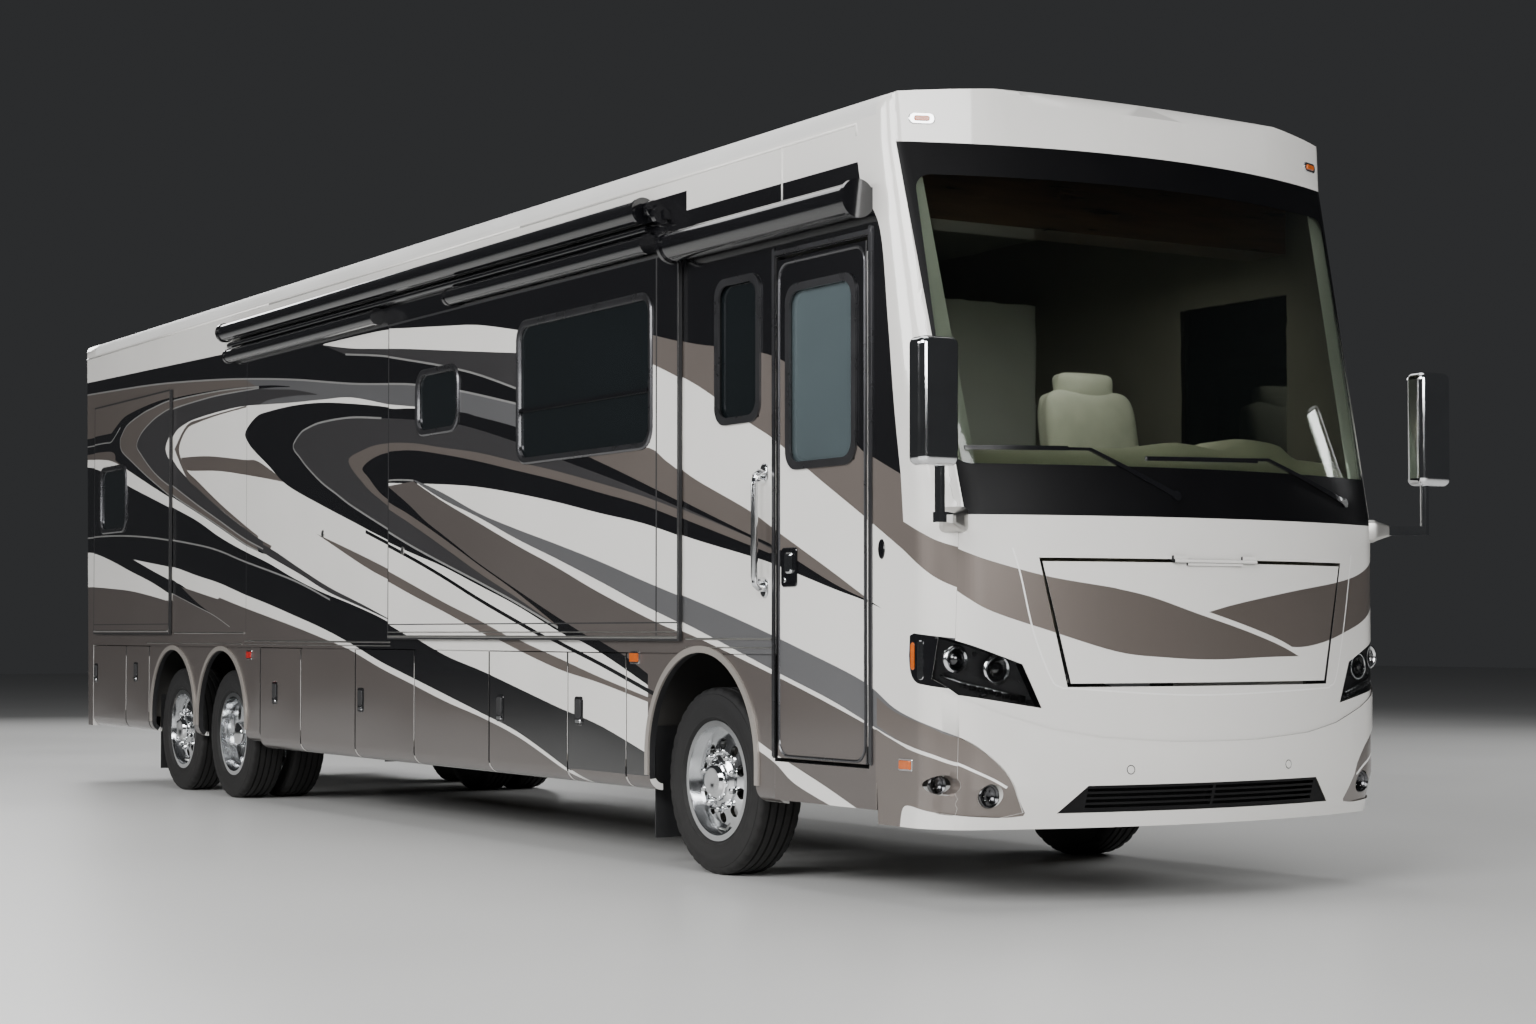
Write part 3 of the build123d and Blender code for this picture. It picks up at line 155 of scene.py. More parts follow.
RUBBER = material("tyre_rubber", (0.009, 0.009, 0.0095), 0.68, mottle=(0.2, 26, 0.1), grain=(0.35, 420),
                  dust=0.05, Specular_IOR_Level=0.3)
# Black seal rubber; it also paints the shade on the faces inside panel gaps and seams
SEAL_AND_GAP_SHADE = material("rubber_seal_and_gap_shade", (0.008, 0.008, 0.009), 0.55, mottle=(0.2, 30, 0.1), grain=(0.2, 300))
GLOSS = material("gloss_black_trim", (0.005, 0.005, 0.006), 0.12, coat=1.0, mottle=(0.1, 2, 0.04),
                 grain=(0.02, 60))
TRIM = material("black_anodised_trim", (0.075, 0.075, 0.08), 0.28, 0.85, coat=0.5, mottle=(0.1, 6, 0.04))
MATT = material("matt_black_plastic", (0.014, 0.014, 0.015), 0.5, mottle=(0.15, 20, 0.08), grain=(0.3, 700))
MESH_BLACK = material("grille_black", (0.004, 0.004, 0.0045), 0.6, mottle=(0.2, 30, 0.1), grain=(0.3, 500),
                      Specular_IOR_Level=0.2)
FRAME_PAINT = material("chassis_paint", (0.011, 0.011, 0.012), 0.5, mottle=(0.3, 9, 0.15),
                       grain=(0.25, 120), dust=0.9)
UNDERSIDE = material("underside_board", (0.025, 0.024, 0.023), 0.7, mottle=(0.25, 5, 0.1), grain=(0.3, 200),
                     dust=0.6)
CASTING = material("cast_steel", (0.05, 0.05, 0.052), 0.55, 0.7, mottle=(0.3, 18, 0.12), grain=(0.5, 160),
                   dust=0.6)
ROOFING = material("roof_membrane", (0.66, 0.655, 0.64), 0.42, mottle=(0.05, 1.3, 0.1), grain=(0.15, 240))
SHROUD = material("air_conditioner_shroud", (0.6, 0.6, 0.59), 0.45, mottle=(0.04, 3, 0.08),
                  grain=(0.3, 500))
LEATHER = material("cream_leather", (0.5, 0.485, 0.4), 0.45, mottle=(0.06, 12, 0.08), grain=(0.6, 900),
                   Sheen_Weight=0.1)
DASH = material("cream_dash_vinyl", (0.55, 0.53, 0.4), 0.55, mottle=(0.05, 8, 0.08), grain=(0.5, 1100))
WOOD = material("dark_wood", (0.045, 0.022, 0.012), 0.3, coat=0.6, mottle=(0.45, 3.5, 0.08),
                grain=(0.1, 90), stretch=(1, 1, 9))
LINER = material("cabin_liner", (0.12, 0.11, 0.09), 0.7, mottle=(0.05, 6, 0.08), grain=(0.4, 700),
                 Sheen_Weight=0.2)
CARPET = material("cabin_floor_covering", (0.14, 0.12, 0.095), 0.85, mottle=(0.15, 20, 0.04),
                  grain=(0.8, 900))
AMBER = material("amber_lens", (0.5, 0.095, 0.004), 0.12, coat=1.0, mottle=(0.12, 60, 0.04),
                 grain=(0.5, 260))
RED = material("red_lens", (0.42, 0.006, 0.005), 0.12, coat=1.0, mottle=(0.12, 60, 0.04), grain=(0.5, 260))


def glazing(name, colour, rough, transmission, coat=0.0):
    return material(name, colour, rough, coat=coat, mottle=(0.1, 1.2, 0.01), grain=(0.012, 3),
                    Transmission_Weight=transmission, IOR=1.45)


DARK_GLASS = glazing("tinted_side_glass", (0.006, 0.008, 0.009), 0.03, 0.0, coat=1.0)
DOOR_GLASS = glazing("tinted_door_glass", (0.10, 0.13, 0.14), 0.04, 0.35, coat=1.0)
SCREEN_GLASS = glazing("windshield_glass", (0.62, 0.68, 0.6), 0.02, 1.0)
LENS = glazing("clear_lens", (0.92, 0.94, 0.95), 0.02, 1.0)


# Curves and paint stripes, as (y, z) or (x, z) points in metres
def smooth(points, steps=6):
    """A Catmull-Rom line through the points."""
    ends = [points[0], *points, points[-1]]
    line = []
    for a, b, c, d in zip(ends, ends[1:], ends[2:], ends[3:]):
        for k in range(steps):
            t = k / steps
            weights = (
                (-t + 2 * t * t - t**3) / 2,
                (2 - 5 * t * t + 3 * t**3) / 2,
                (t + 4 * t * t - 3 * t**3) / 2,
                (-t * t + t**3) / 2,
            )
            line.append(tuple(sum(w * p[i] for w, p in zip(weights, (a, b, c, d))) for i in (0, 1)))
    return line + [tuple(points[-1])]


def region(finish, *runs):
    """A closed painted area bounded by smooth runs, with corners where two runs meet."""
    outline = []
    for run in runs:
        outline += smooth(run) if len(run) > 2 else list(run)
    return finish, outline


def stripe(finish, run, width=0.012):
    """A pinstripe of even width along a smooth run."""
    line = smooth(run)
    left, right = [], []
    for k, p in enumerate(line):
        a, b = line[max(0, k - 1)], line[min(len(line) - 1, k + 1)]
        length = math.hypot(b[0] - a[0], b[1] - a[1]) or 1
        nx, nz = -(b[1] - a[1]) / length * width / 2, (b[0] - a[0]) / length * width / 2
        left.append((p[0] + nx, p[1] + nz))
        right.append((p[0] - nx, p[1] - nz))
    return finish, left + right[::-1]


# The door side's bands and swooshes from rear to front, as (y, z)
BAND_TOP = [(6.5, 3.31), (5, 3.28), (4, 3.26), (3, 3.24), (2.6, 3.23)]
T1 = [(6.5, 3.21), (5.5, 3.18), (4.5, 3.145), (3.5, 3.09), (2.5, 3.02), (1.5, 2.93), (0.5, 2.82),
      (-0.25, 2.755), (-0.6, 2.72), (-1.25, 2.63), (-2.1, 2.48)]
SWOOSH_TOP = [(-3.5, 2.75), (-4, 2.645), (-4.6, 2.55), (-4.95, 2.42), (-5.45, 2.05), (-5.6, 1.98),
              (-5.8, 1.9)]
SWOOSH_LOW = [(-5.82, 1.565), (-5.5, 1.73), (-5.1, 1.93), (-4.75, 2.115), (-4.5, 2.22), (-4, 2.44),
              (-3.5, 2.61)]
L1 = [(6.5, 2.61), (6, 2.565), (5.5, 2.476), (5, 2.36), (4.5, 2.255), (4, 2.15), (3.5, 2.04), (3, 1.903),
      (2.5, 1.79), (2, 1.69), (1.5, 1.573), (1, 1.473), (0.5, 1.39), (0, 1.297), (-0.5, 1.18), (-1, 1.064),
      (-1.5, 0.98), (-2, 0.885), (-2.5, 0.79), (-3, 0.703), (-3.65, 0.54)]
W1_TOP = [(6.5, 2.664), (6, 2.64), (5.5, 2.597), (5, 2.48), (4.5, 2.35), (4, 2.225), (3.5, 2.1), (3, 1.97),
          (2.5, 1.836), (2.1, 1.755)]
L2 = [(4.95, 1.785), (4.5, 1.745), (4, 1.7), (3.5, 1.63), (3, 1.565), (2.5, 1.48), (2, 1.403), (1.5, 1.32),
      (1, 1.235), (0.5, 1.135), (0, 1.02), (-0.5, 0.925), (-1, 0.83), (-1.5, 0.735), (-2, 0.635),
      (-2.62, 0.455)]
L3 = [(-2.95, 0.36), (-2.58, 0.45), (-2, 0.61), (-1.5, 0.71), (-1, 0.79), (-0.5, 0.885), (0, 0.98),
      (0.5, 1.09), (1, 1.17), (1.5, 1.245), (2, 1.315), (2.5, 1.385), (3, 1.46), (3.5, 1.524), (4, 1.6),
      (4.5, 1.69), (4.95, 1.785)]
REAR_WHITE_TOP = [(6.5, 1.88), (6, 1.86), (5.5, 1.785), (5, 1.69), (4.5, 1.6), (4.13, 1.52)]
REAR_WHITE_LOW = [(4.13, 1.45), (4.5, 1.49), (5, 1.535), (5.5, 1.56), (6, 1.58), (6.5, 1.585)]
C_OUTER = [(5.53, 2.83), (5.25, 2.925), (5, 2.96), (4.5, 2.995), (4, 3.005), (3, 2.985), (2.2, 2.945)]
C_FIRST = [(2.2, 2.94), (3, 2.975), (4, 2.985), (4.5, 2.955), (4.75, 2.93), (5.1, 2.87), (5.25, 2.8),
           (5.3, 2.745), (5.25, 2.665), (5, 2.57), (4.75, 2.48), (4.5, 2.395), (4, 2.24), (3.5, 2.11),
           (3, 1.98), (2.5, 1.845), (2.2, 1.78)]
C_SECOND = [(2.2, 2.93), (3, 2.945), (3.5, 2.94), (4, 2.925), (4.25, 2.9), (4.5, 2.855), (4.75, 2.78),
            (4.87, 2.69), (4.75, 2.605), (4.5, 2.48), (4.25, 2.385), (4, 2.31), (3.5, 2.16), (3, 2.02),
            (2.5, 1.88), (2.1, 1.79)]
C_THIRD = [(-0.1, 2.64), (0.5, 2.73), (1, 2.755), (1.5, 2.775), (2, 2.8), (2.5, 2.825), (3, 2.825),
           (3.5, 2.81), (3.75, 2.79), (4, 2.74), (4.155, 2.62), (4, 2.49), (3.75, 2.38), (3.5, 2.285),
           (3, 2.11), (2.75, 2.03), (2.5, 1.955), (2.2, 1.87), (1.9, 1.8)]
C_FOURTH = [(2.45, 2.812), (3, 2.8), (3.5, 2.775), (3.75, 2.74), (3.92, 2.6), (3.75, 2.44), (3.5, 2.34),
            (3, 2.15), (2.5, 1.98), (2.2, 1.885)]
BLOB = [(-2.87, 2.15), (-2.6, 2.21), (-2.05, 2.355), (-1.5, 2.46), (-1.25, 2.505), (-0.6, 2.575),
        (-0.25, 2.6), (0, 2.635), (0.5, 2.69), (1, 2.735), (1.5, 2.755), (2, 2.75), (2.25, 2.73),
        (2.47, 2.635), (2.4, 2.55), (2.25, 2.475), (2, 2.37), (1.75, 2.255), (1.5, 2.175), (1, 2.05),
        (0.5, 1.93), (0, 1.81), (-0.5, 1.7), (-1, 1.6), (-1.5, 1.48), (-2, 1.36), (-2.5, 1.22), (-3, 1.09),
        (-3.6, 0.9)]
UNDER_WINDOW = [(-5.57, 1.34), (-5.25, 1.43), (-4.75, 1.61), (-4.5, 1.68), (-4, 1.825), (-3.75, 1.9),
                (-3.25, 2.045), (-2.87, 2.15)]
BLACK_LOW = [(-5.65, 1.31), (-5.5, 1.35), (-5.25, 1.405), (-4.75, 1.525), (-4.5, 1.575), (-4, 1.665),
             (-3.5, 1.765), (-3, 1.84), (-2.5, 1.92), (-2, 1.99), (-1.5, 2.05), (-1, 2.09), (-0.17, 2.14)]
WEDGE_LOW = [(-0.17, 2.12), (-0.5, 1.99), (-0.75, 1.88), (-1, 1.79), (-1.25, 1.7), (-1.5, 1.61), (-2, 1.45),
             (-2.5, 1.295), (-3, 1.15), (-3.25, 1.08), (-3.5, 0.99)]
CHARCOAL_OUT = [(-4.75, 1.6), (-3.5, 1.93), (-2.6, 2.14), (-2.05, 2.27), (-1.25, 2.43), (-0.6, 2.505),
                (0, 2.56), (0.5, 2.6), (1, 2.605), (1.25, 2.585), (1.4, 2.555), (1.53, 2.475), (1.4, 2.39),
                (1.25, 2.31), (1, 2.2), (0.75, 2.115), (0.5, 2.03), (0, 1.885), (-0.5, 1.745), (-1, 1.62),
                (-1.5, 1.5), (-2, 1.375), (-2.53, 1.23)]
LOOP_OUT = [(-4.75, 1.59), (-4.5, 1.665), (-4, 1.79), (-3.5, 1.905), (-3, 2), (-2.5, 2.09), (-2, 2.17),
            (-1.5, 2.25), (-1, 2.31), (-0.5, 2.37), (0, 2.395), (0.3, 2.375), (0.54, 2.315), (0.25, 2.14),
            (0, 2.04), (-0.25, 1.955), (-0.5, 1.88), (-1, 1.72), (-1.5, 1.555), (-2, 1.405), (-2.53, 1.235)]
LOOP_IN = [(-2.53, 1.24), (-2, 1.435), (-1.5, 1.6), (-1, 1.77), (-0.5, 1.93), (-0.25, 2), (0, 2.08),
           (0.2, 2.19), (0.3, 2.265), (0, 2.33), (-0.5, 2.325), (-1, 2.27), (-1.5, 2.2), (-2, 2.12),
           (-2.5, 2.04), (-3, 1.95), (-3.5, 1.86), (-4, 1.745), (-4.7, 1.58)]
LINE_LOW = [(-0.57, 2.13), (-1, 1.99), (-1.5, 1.845), (-2, 1.7), (-2.5, 1.565), (-3, 1.42), (-3.6, 1.265),
            (-4, 1.18), (-4.5, 1.06), (-5, 0.935), (-5.5, 0.8), (-5.9, 0.68)]
LINE_HIGH = [(-0.57, 2.135), (-1, 2), (-1.5, 1.875), (-2, 1.735), (-2.5, 1.61), (-3, 1.48), (-3.5, 1.345),
             (-4, 1.22), (-4.75, 1.02), (-5.25, 0.89), (-5.75, 0.735), (-6.1, 0.665)]
BAND_HIGH = [(-0.6, 2.135), (-1, 2.04), (-1.5, 1.9), (-2, 1.79), (-2.5, 1.69), (-3, 1.585), (-3.5, 1.47),
             (-4, 1.36), (-4.5, 1.245), (-5, 1.12), (-5.5, 0.985), (-5.75, 0.87), (-6, 0.8), (-6.15, 0.74)]
STRIPE_HIGH = [(0.95, 3.125), (0, 3.115), (-0.5, 3.08), (-1, 3.04), (-1.5, 2.995), (-2.1, 2.9)]
STRIPE_LOW = [(-2.1, 2.775), (-1.5, 2.84), (-1, 2.895), (-0.5, 2.95), (0, 3), (0.5, 3.05), (1, 3.12)]
UPPER_BAND = [(-2.1, 2.56), (-1.5, 2.705), (-1, 2.8), (-0.5, 2.88), (0, 2.955), (0.6, 3.02)]
SIDE_PAINT = [
    region(BLACK, BAND_TOP, [(2.6, 3.43), (-3.9, 3.43)], [(-3.9, 3.33), (-5.46, 3.33)], [(-5.46, 3.33),
           (-5.5, 3.2), (-5.64, 3), (-5.7, 2.6), (-5.75, 2.2), (-5.8, 1.9)], SWOOSH_TOP[::-1], T1[::-1]),
    region(TAUPE, T1[:6], [(1, 2.6), (2, 1.75)], W1_TOP[::-1]),
    region(STEEL, T1[4:], [(-2.1, 2.34), (-1.5, 2.46), (-1.25, 2.505), (-0.6, 2.585), (-0.1, 2.64)],
           C_THIRD[:6], [(2.2, 2.93)]),
    region(BLACK, [(6.5, 2.83), (5.53, 2.83)], C_OUTER, [(2.2, 2.9), (2.1, 1.8)], W1_TOP[::-1][:-3],
           [(5.42, 2.6), (5.55, 2.68), (6.5, 2.7)]),
    region(TAUPE, C_FIRST),
    region(CHARCOAL, C_SECOND),
    region(BLACK, [(2.25, 2.95), (1.9, 2.925), (1.6, 2.893)], [(1.6, 2.888), (1.9, 2.91), (2.25, 2.925)]),
    region(CHARCOAL, [(2.25, 2.93), (2, 2.905), (1.5, 2.86), (1.1, 2.8)], [(1.1, 2.795), (1.5, 2.82),
           (2, 2.83), (2.25, 2.8)]),
    region(CHARCOAL, [(2.3, 1.86), (1.9, 1.775), (1.4, 1.64), (0.875, 1.505), (0.3, 1.385), (-0.14, 1.288)],
           [(-0.14, 1.282), (0.3, 1.365), (0.875, 1.47), (1.4, 1.6), (1.9, 1.715), (2.2, 1.79)]),
    region(WHITE, C_THIRD),
    region(TAUPE, C_FOURTH, [(2.2, 1.87), (2.5, 1.955), (3, 2.11), (3.5, 2.285), (3.75, 2.38),
           (4.03, 2.61)], [(4.03, 2.61), (3.75, 2.77), (3.4, 2.8), (2.45, 2.825)]),
    region(TAUPE, [(3.87, 2.535), (3.25, 2.51), (2.5, 2.44), (2.2, 2.41), (1.7, 2.25)], [(1.7, 2.24),
           (2.2, 2.3), (3, 2.385), (3.73, 2.43), (3.83, 2.48), (3.87, 2.535)]),
    region(BLACK, L1, [(-3.65, 0.455), (-2.62, 0.455)], L2[::-1][:-1], [(4.95, 1.74), (4.6, 1.7)],
           [(3.1, 1.335), (3.2, 1.35), (3.5, 1.4), (3.75, 1.44), (4.13, 1.52)], REAR_WHITE_TOP[::-1]),
    region(DEEP_TAUPE, [(6.5, 0.2), (-3.7, 0.2)], [(-3.7, 0.465), (-2.62, 0.465)], L3[:-4], [(3.25, 1.38),
           (3.1, 1.335)], [(3.1, 1.335), (3.5, 1.4), (3.75, 1.44), (4.13, 1.45)], REAR_WHITE_LOW),
    region(WHITE, L2, L3),
    region(BLACK, [(4.13, 1.6), (3.85, 1.565), (3.5, 1.46), (3.25, 1.38), (3.1, 1.335)], [(3.1, 1.335),
           (3.5, 1.4), (3.75, 1.44), (4.13, 1.52)]),
    region(BLACK, [(5.1, 1.82), (4.942, 1.785), (4.481, 1.69), (4.021, 1.6), (3.86, 1.553)], [(3.86, 1.54),
           (4.02, 1.5), (4.408, 1.585), (4.8, 1.66), (5.1, 1.72)]),
    region(DEEP_TAUPE, [(3.86, 1.552), (3.55, 1.513), (3.06, 1.452), (2.95, 1.437)], [(2.95, 1.437),
           (2.9, 1.3), (3.12, 1.331)], [(3.12, 1.331), (3.445, 1.415), (3.7, 1.497), (3.86, 1.552)]),
    region(DEEP_TAUPE, [(4.055, 1.5), (3.544, 1.408), (3.12, 1.33)], [(3.12, 1.3), (4.055, 1.4)]),
    region(BLACK, BLOB, [(-3.6, 0.95), (-3.5, 0.99)], WEDGE_LOW[::-1], BLACK_LOW[::-1], UNDER_WINDOW),
    region(CHARCOAL, CHARCOAL_OUT, LOOP_OUT[::-1]),
    region(TAUPE, LOOP_OUT, LOOP_IN),
    region(DEEP_TAUPE, LINE_LOW, [(-6.2, 0.3), (-3.5, 0.3)], WEDGE_LOW[::-1]),
    region(STEEL, LINE_HIGH, BAND_HIGH[::-1]),
    region(TAUPE, [(-5.6, 0.775), (-5.8, 0.708), (-6, 0.664), (-6.15, 0.62), (-6.4, 0.6)], [(-6.4, 0.3),
           (-5.6, 0.3)]),
    region(TAUPE, [(-5.61, 0.917), (-5.752, 0.854), (-5.971, 0.804), (-6.114, 0.751), (-6.4, 0.7)],
           [(-6.4, 0.62), (-6.15, 0.635), (-6, 0.68), (-5.8, 0.724), (-5.61, 0.79)]),
    region(WHITE, [(-5.78, 0.36), (-5.823, 0.445), (-5.982, 0.428), (-6.089, 0.414), (-6.4, 0.41)],
           [(-6.4, 0.3), (-5.78, 0.3)]),
    region(GLOSS, [(-6.3, 1.155), (-6.05, 1.185), (-5.9, 1.2)], [(-5.868, 1.19), (-5.862, 1.1)],
           [(-5.862, 1.1), (-5.872, 1.035), (-5.91, 0.99), (-6, 0.972), (-6.3, 0.935)]),
    region(WHITE, STRIPE_HIGH, STRIPE_LOW),
    region(CHARCOAL, STRIPE_LOW, UPPER_BAND[::-1]),
    region(TAUPE, SWOOSH_TOP, [(-5.8, 1.9), (-5.82, 1.69)], [(-5.82, 1.69), (-5.955, 1.636),
           (-6.045, 1.596), (-6.2, 1.54)], [(-6.2, 1.35), (-6.045, 1.43), (-5.942, 1.493), (-5.82, 1.565)],
           SWOOSH_LOW),
    region(TAUPE, [(-2.87, 2.15), (-3.5, 2.16), (-3.75, 2.07), (-4, 1.965), (-4.5, 1.795), (-4.75, 1.69),
           (-5, 1.585), (-5.25, 1.48), (-5.57, 1.34)], UNDER_WINDOW),
    region(TAUPE, [(1.1, 1.865), (0.268, 1.628), (-0.185, 1.521), (-0.57, 1.429), (-1.03, 1.326),
           (-1.5, 1.215), (-2, 1.1), (-2.5, 1), (-3, 0.93), (-3.65, 0.82)], [(-3.65, 0.845), (-3, 0.96),
           (-2.5, 1.06), (-2, 1.16), (-1.5, 1.28), (-1, 1.39), (0, 1.63), (1.1, 1.865)]),
    region(WHITE, [(-4.55, 0.7), (-4.75, 0.63), (-5.18, 0.5), (-5.5, 0.395)], [(-5.3, 0.395),
           (-4.93, 0.495), (-4.75, 0.585), (-4.55, 0.655)]),
    stripe(BLACK, [(0.25, 1.85), (-0.5, 1.67), (-1, 1.54), (-1.5, 1.4), (-2, 1.27), (-2.5, 1.145),
           (-3, 1.03), (-3.6, 0.88)], 0.022),
    stripe(SILVER, T1),
    stripe(SILVER, C_FIRST, 0.01),
    stripe(SILVER, C_SECOND, 0.01),
    stripe(SILVER, [(6.5, 1.995), (5.5, 1.99), (4.5, 1.945), (3.5, 1.86), (3, 1.8), (2.5, 1.715),
           (1.5, 1.557), (0.85, 1.42)], 0.012),
    stripe(SILVER, CHARCOAL_OUT[6:], 0.012),
    stripe(SILVER, UPPER_BAND, 0.012),
    stripe(SILVER, [(6.5, 2.765), (5.7, 2.76), (5.6, 2.755), (5.5, 2.77), (5.3, 2.86)], 0.01),
    stripe(SILVER, [(-0.17, 2.155), (-0.35, 2.15), (-0.57, 2.135)], 0.01),
    stripe(SILVER, [(4.05, 1.5), (3.544, 1.408), (3.12, 1.33), (2.773, 1.244)], 0.006),
]
FRONT_BAND_HIGH = [(-1.35, 1.64), (-1.264, 1.596), (-1.189, 1.55), (-1.082, 1.509), (-0.836, 1.445),
                   (-0.523, 1.397), (-0.339, 1.366), (-0.1, 1.3), (0.2, 1.22), (0.42, 1.155), (0.55, 1.1)]
FRONT_BAND_LOW = [(0.55, 1.095), (0.332, 1.092), (0, 1.083), (-0.268, 1.093), (-0.524, 1.12),
                  (-0.851, 1.215), (-1.084, 1.293), (-1.189, 1.356), (-1.264, 1.43), (-1.35, 1.5)]
FOG_FIELD_TOP = [(-1.35, 0.8), (-1.21, 0.751), (-1.098, 0.669), (-1.022, 0.587), (-0.969, 0.482),
                 (-0.933, 0.424)]
FOG_FIELD_LOW = [(-0.939, 0.411), (-1.033, 0.404), (-1.193, 0.414), (-1.35, 0.44)]
FOG_CREASE = [(-1.25, 0.652), (-1.216, 0.638), (-1.157, 0.606), (-1.08, 0.568), (-1.026, 0.535)]


def mirrored(run, side):
    """The run as it is for side 1, on the other side of the vehicle for side -1."""
    return [(side * x, z) for x, z in run]


FRONT_PAINT = [
    region(TAUPE, FRONT_BAND_HIGH, FRONT_BAND_LOW),
    region(TAUPE, [(-0.135, 1.268), (0.11, 1.327), (0.486, 1.389), (0.883, 1.442), (1.092, 1.491),
           (1.264, 1.58), (1.35, 1.64)], [(1.35, 1.47), (1.264, 1.38), (1.12, 1.27), (0.907, 1.2),
           (0.72, 1.155), (0.533, 1.136), (0.35, 1.158), (0.14, 1.2), (-0.135, 1.268)]),
    region(WHITE, [(-0.523, 1.398), (-0.339, 1.376), (-0.1, 1.312), (0.2, 1.232), (0.42, 1.167),
           (0.56, 1.11)], [(0.56, 1.09), (0.42, 1.143), (0.2, 1.208), (-0.1, 1.288), (-0.339, 1.358),
           (-0.523, 1.396)]),
    # Painted highlight along the moulded crease round the hood
    stripe(CREASE_HIGHLIGHT, [(-1, 1.57), (-0.965, 1.45), (-0.91, 1.207), (-0.835, 1.01), (-0.79, 0.968),
           (-0.7, 0.958), (-0.093, 0.926), (0.7, 0.945), (0.79, 0.955), (0.845, 1), (0.916, 1.242),
           (0.985, 1.57)], 0.007),
    *[region(TAUPE, mirrored(FOG_FIELD_TOP, side), mirrored(FOG_FIELD_LOW, side)) for side in (1, -1)],
    # Painted highlights along the creases over the fog lamp fields
    *[stripe(CREASE_HIGHLIGHT, mirrored(FOG_CREASE, side), 0.011) for side in (1, -1)],
]


def inside(point, outline):
    """Whether a flat point lies in an outline, by the edges that a ray from it crosses."""
    x, y = point
    odd = False
    for (ax, ay), (bx, by) in zip(outline, outline[1:] + outline[:1]):
        if (ay > y) != (by > y) and x < (bx - ax) * (y - ay) / (by - ay) + ax:
            odd = not odd
    return odd


def in_box(point, box):
    return all(box[i][0] <= point[i] <= box[i][1] for i in (0, 1))


def place_object(name, mesh, body):
    """A new object of the mesh that rides on a body."""
    made = bpy.data.objects.new(name, mesh)
    bpy.context.scene.collection.objects.link(made)
    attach(made, body)
    return made


TINY_AREA = 1e-9
TINY_TURN = 1e-8
TINY = 1e-6
MERGE_GAP = 1e-5
SKIN_LIFT = 0.0007
SKIN_MARGIN = 0.02


def outer_faces(source, axis, sign, limit, keep):
    """A CAD mesh's faces that look along an axis: their flat points, each face's corners, and the faces."""
    index, flat, corners, kept = {}, [], [], []
    for p in source.polygons:
        if p.normal[axis] * sign <= limit or p.area <= TINY_AREA or not keep(p.center, p.normal):
            continue
        ids = []
        for v in p.vertices:
            co = source.vertices[v].co
            key = (round(co[1 - axis], 5), round(co.z, 5))
            if key not in index:
                index[key] = len(flat)
                flat.append(Vector(key))
            ids.append(index[key])
        turn = sum(flat[i][0] * flat[j][1] - flat[j][0] * flat[i][1] for i, j in zip(ids, ids[1:] + ids[:1]))
        if len(set(ids)) == len(ids) and abs(turn) >= TINY_TURN:
            kept.append(p)
            corners.append(ids if turn > 0 else ids[::-1])
    return flat, corners, kept


def skin(name, node, normal, shapes, base, keep, lift=SKIN_LIFT, limit=0.35):
    """Copies a CAD node's outer faces that look along normal, cut along the shapes, one finish a face."""
    axis = 0 if normal[0] else 1
    along = 1 - axis
    sign = normal[axis]
    source = NODES[node].data
    flat, corners, kept = outer_faces(source, axis, sign, limit, keep)
    low = [min(v[i] for v in flat) - SKIN_MARGIN for i in (0, 1)]
    high = [max(v[i] for v in flat) + SKIN_MARGIN for i in (0, 1)]
    used, edges = [], []
    for finish, outline in shapes:
        box = [(min(q[i] for q in outline), max(q[i] for q in outline)) for i in (0, 1)]
        if any(box[i][1] < low[i] or box[i][0] > high[i] for i in (0, 1)):
            continue
        used.append((finish, outline, box))
        for a, b in zip(outline, outline[1:] + outline[:1]):
            if a != b and all(max(a[i], b[i]) >= low[i] and min(a[i], b[i]) <= high[i] for i in (0, 1)):
                edges.append((len(flat), len(flat) + 1))
                flat += [Vector(a), Vector(b)]
    points, _, faces, _, _, origin = delaunay_2d_cdt(flat, edges, corners, 0, MERGE_GAP, True)

    finishes = [base] if base else []
    places, where, polygons, slots = [], {}, [], []
    for face, owners in zip(faces, origin):
        centre = sum((points[i] for i in face), Vector((0, 0))) / len(face)
        under = [kept[k] for k in owners if inside(centre, [flat[i] for i in corners[k]])]
        over = (f for f, outline, box in reversed(used) if in_box(centre, box) and inside(centre, outline))
        finish = next(over, base)
        if not under or finish is None:
            continue
        if finish not in finishes:
            finishes.append(finish)
        top = max(under, key=lambda p: p.center[axis] * sign)
        reach = [source.vertices[v].co[axis] for v in top.vertices]
        ids = []
        for i in face:
            a, z = points[i]
            slope = top.normal[along] * (a - top.center[along]) + top.normal[2] * (z - top.center.z)
            depth = min(max(top.center[axis] - slope / top.normal[axis], min(reach)), max(reach))
            key = (i, round(depth, 4))
            if key not in where:
                where[key] = len(places)
                spot = [0, 0, z]
                spot[axis] = depth + sign * lift
                spot[along] = a
                places.append(spot)
            ids.append(where[key])
        polygons.append(ids)
        slots.append(finishes.index(finish))

    mesh = bpy.data.meshes.new(name)
    mesh.from_pydata(places, [], polygons)
    for finish in finishes:
        mesh.materials.append(finish)
    mesh.polygons.foreach_set("material_index", slots)
    mesh.polygons.foreach_set("use_smooth", [True] * len(polygons))
    work = bmesh.new()
    work.from_mesh(mesh)
    for f in work.faces:
        if f.normal[axis] * sign < 0:
            f.normal_flip()
    work.to_mesh(mesh)
    work.free()
    place_object(name, mesh, BODY_OF[node])


# Rubber seals and hard shadow lines of the walls, the slide rooms and the entry door
# A dark strip, used for seals and for painted shadow lines
def seal_and_shadow_strip(front, rear, low, high):
    return SEAL_AND_GAP_SHADE, [(front, low), (rear, low), (rear, high), (front, high)]


def edge_lines(rear, front, low, high, width=0.012):
    """Four dark strips along the inside of a panel's edges: seals and painted shadow lines."""
    return [seal_and_shadow_strip(front, front + width, low, high), seal_and_shadow_strip(rear - width, rear, low, high),
            seal_and_shadow_strip(front, rear, low, low + width), seal_and_shadow_strip(front, rear, high - width, high)]


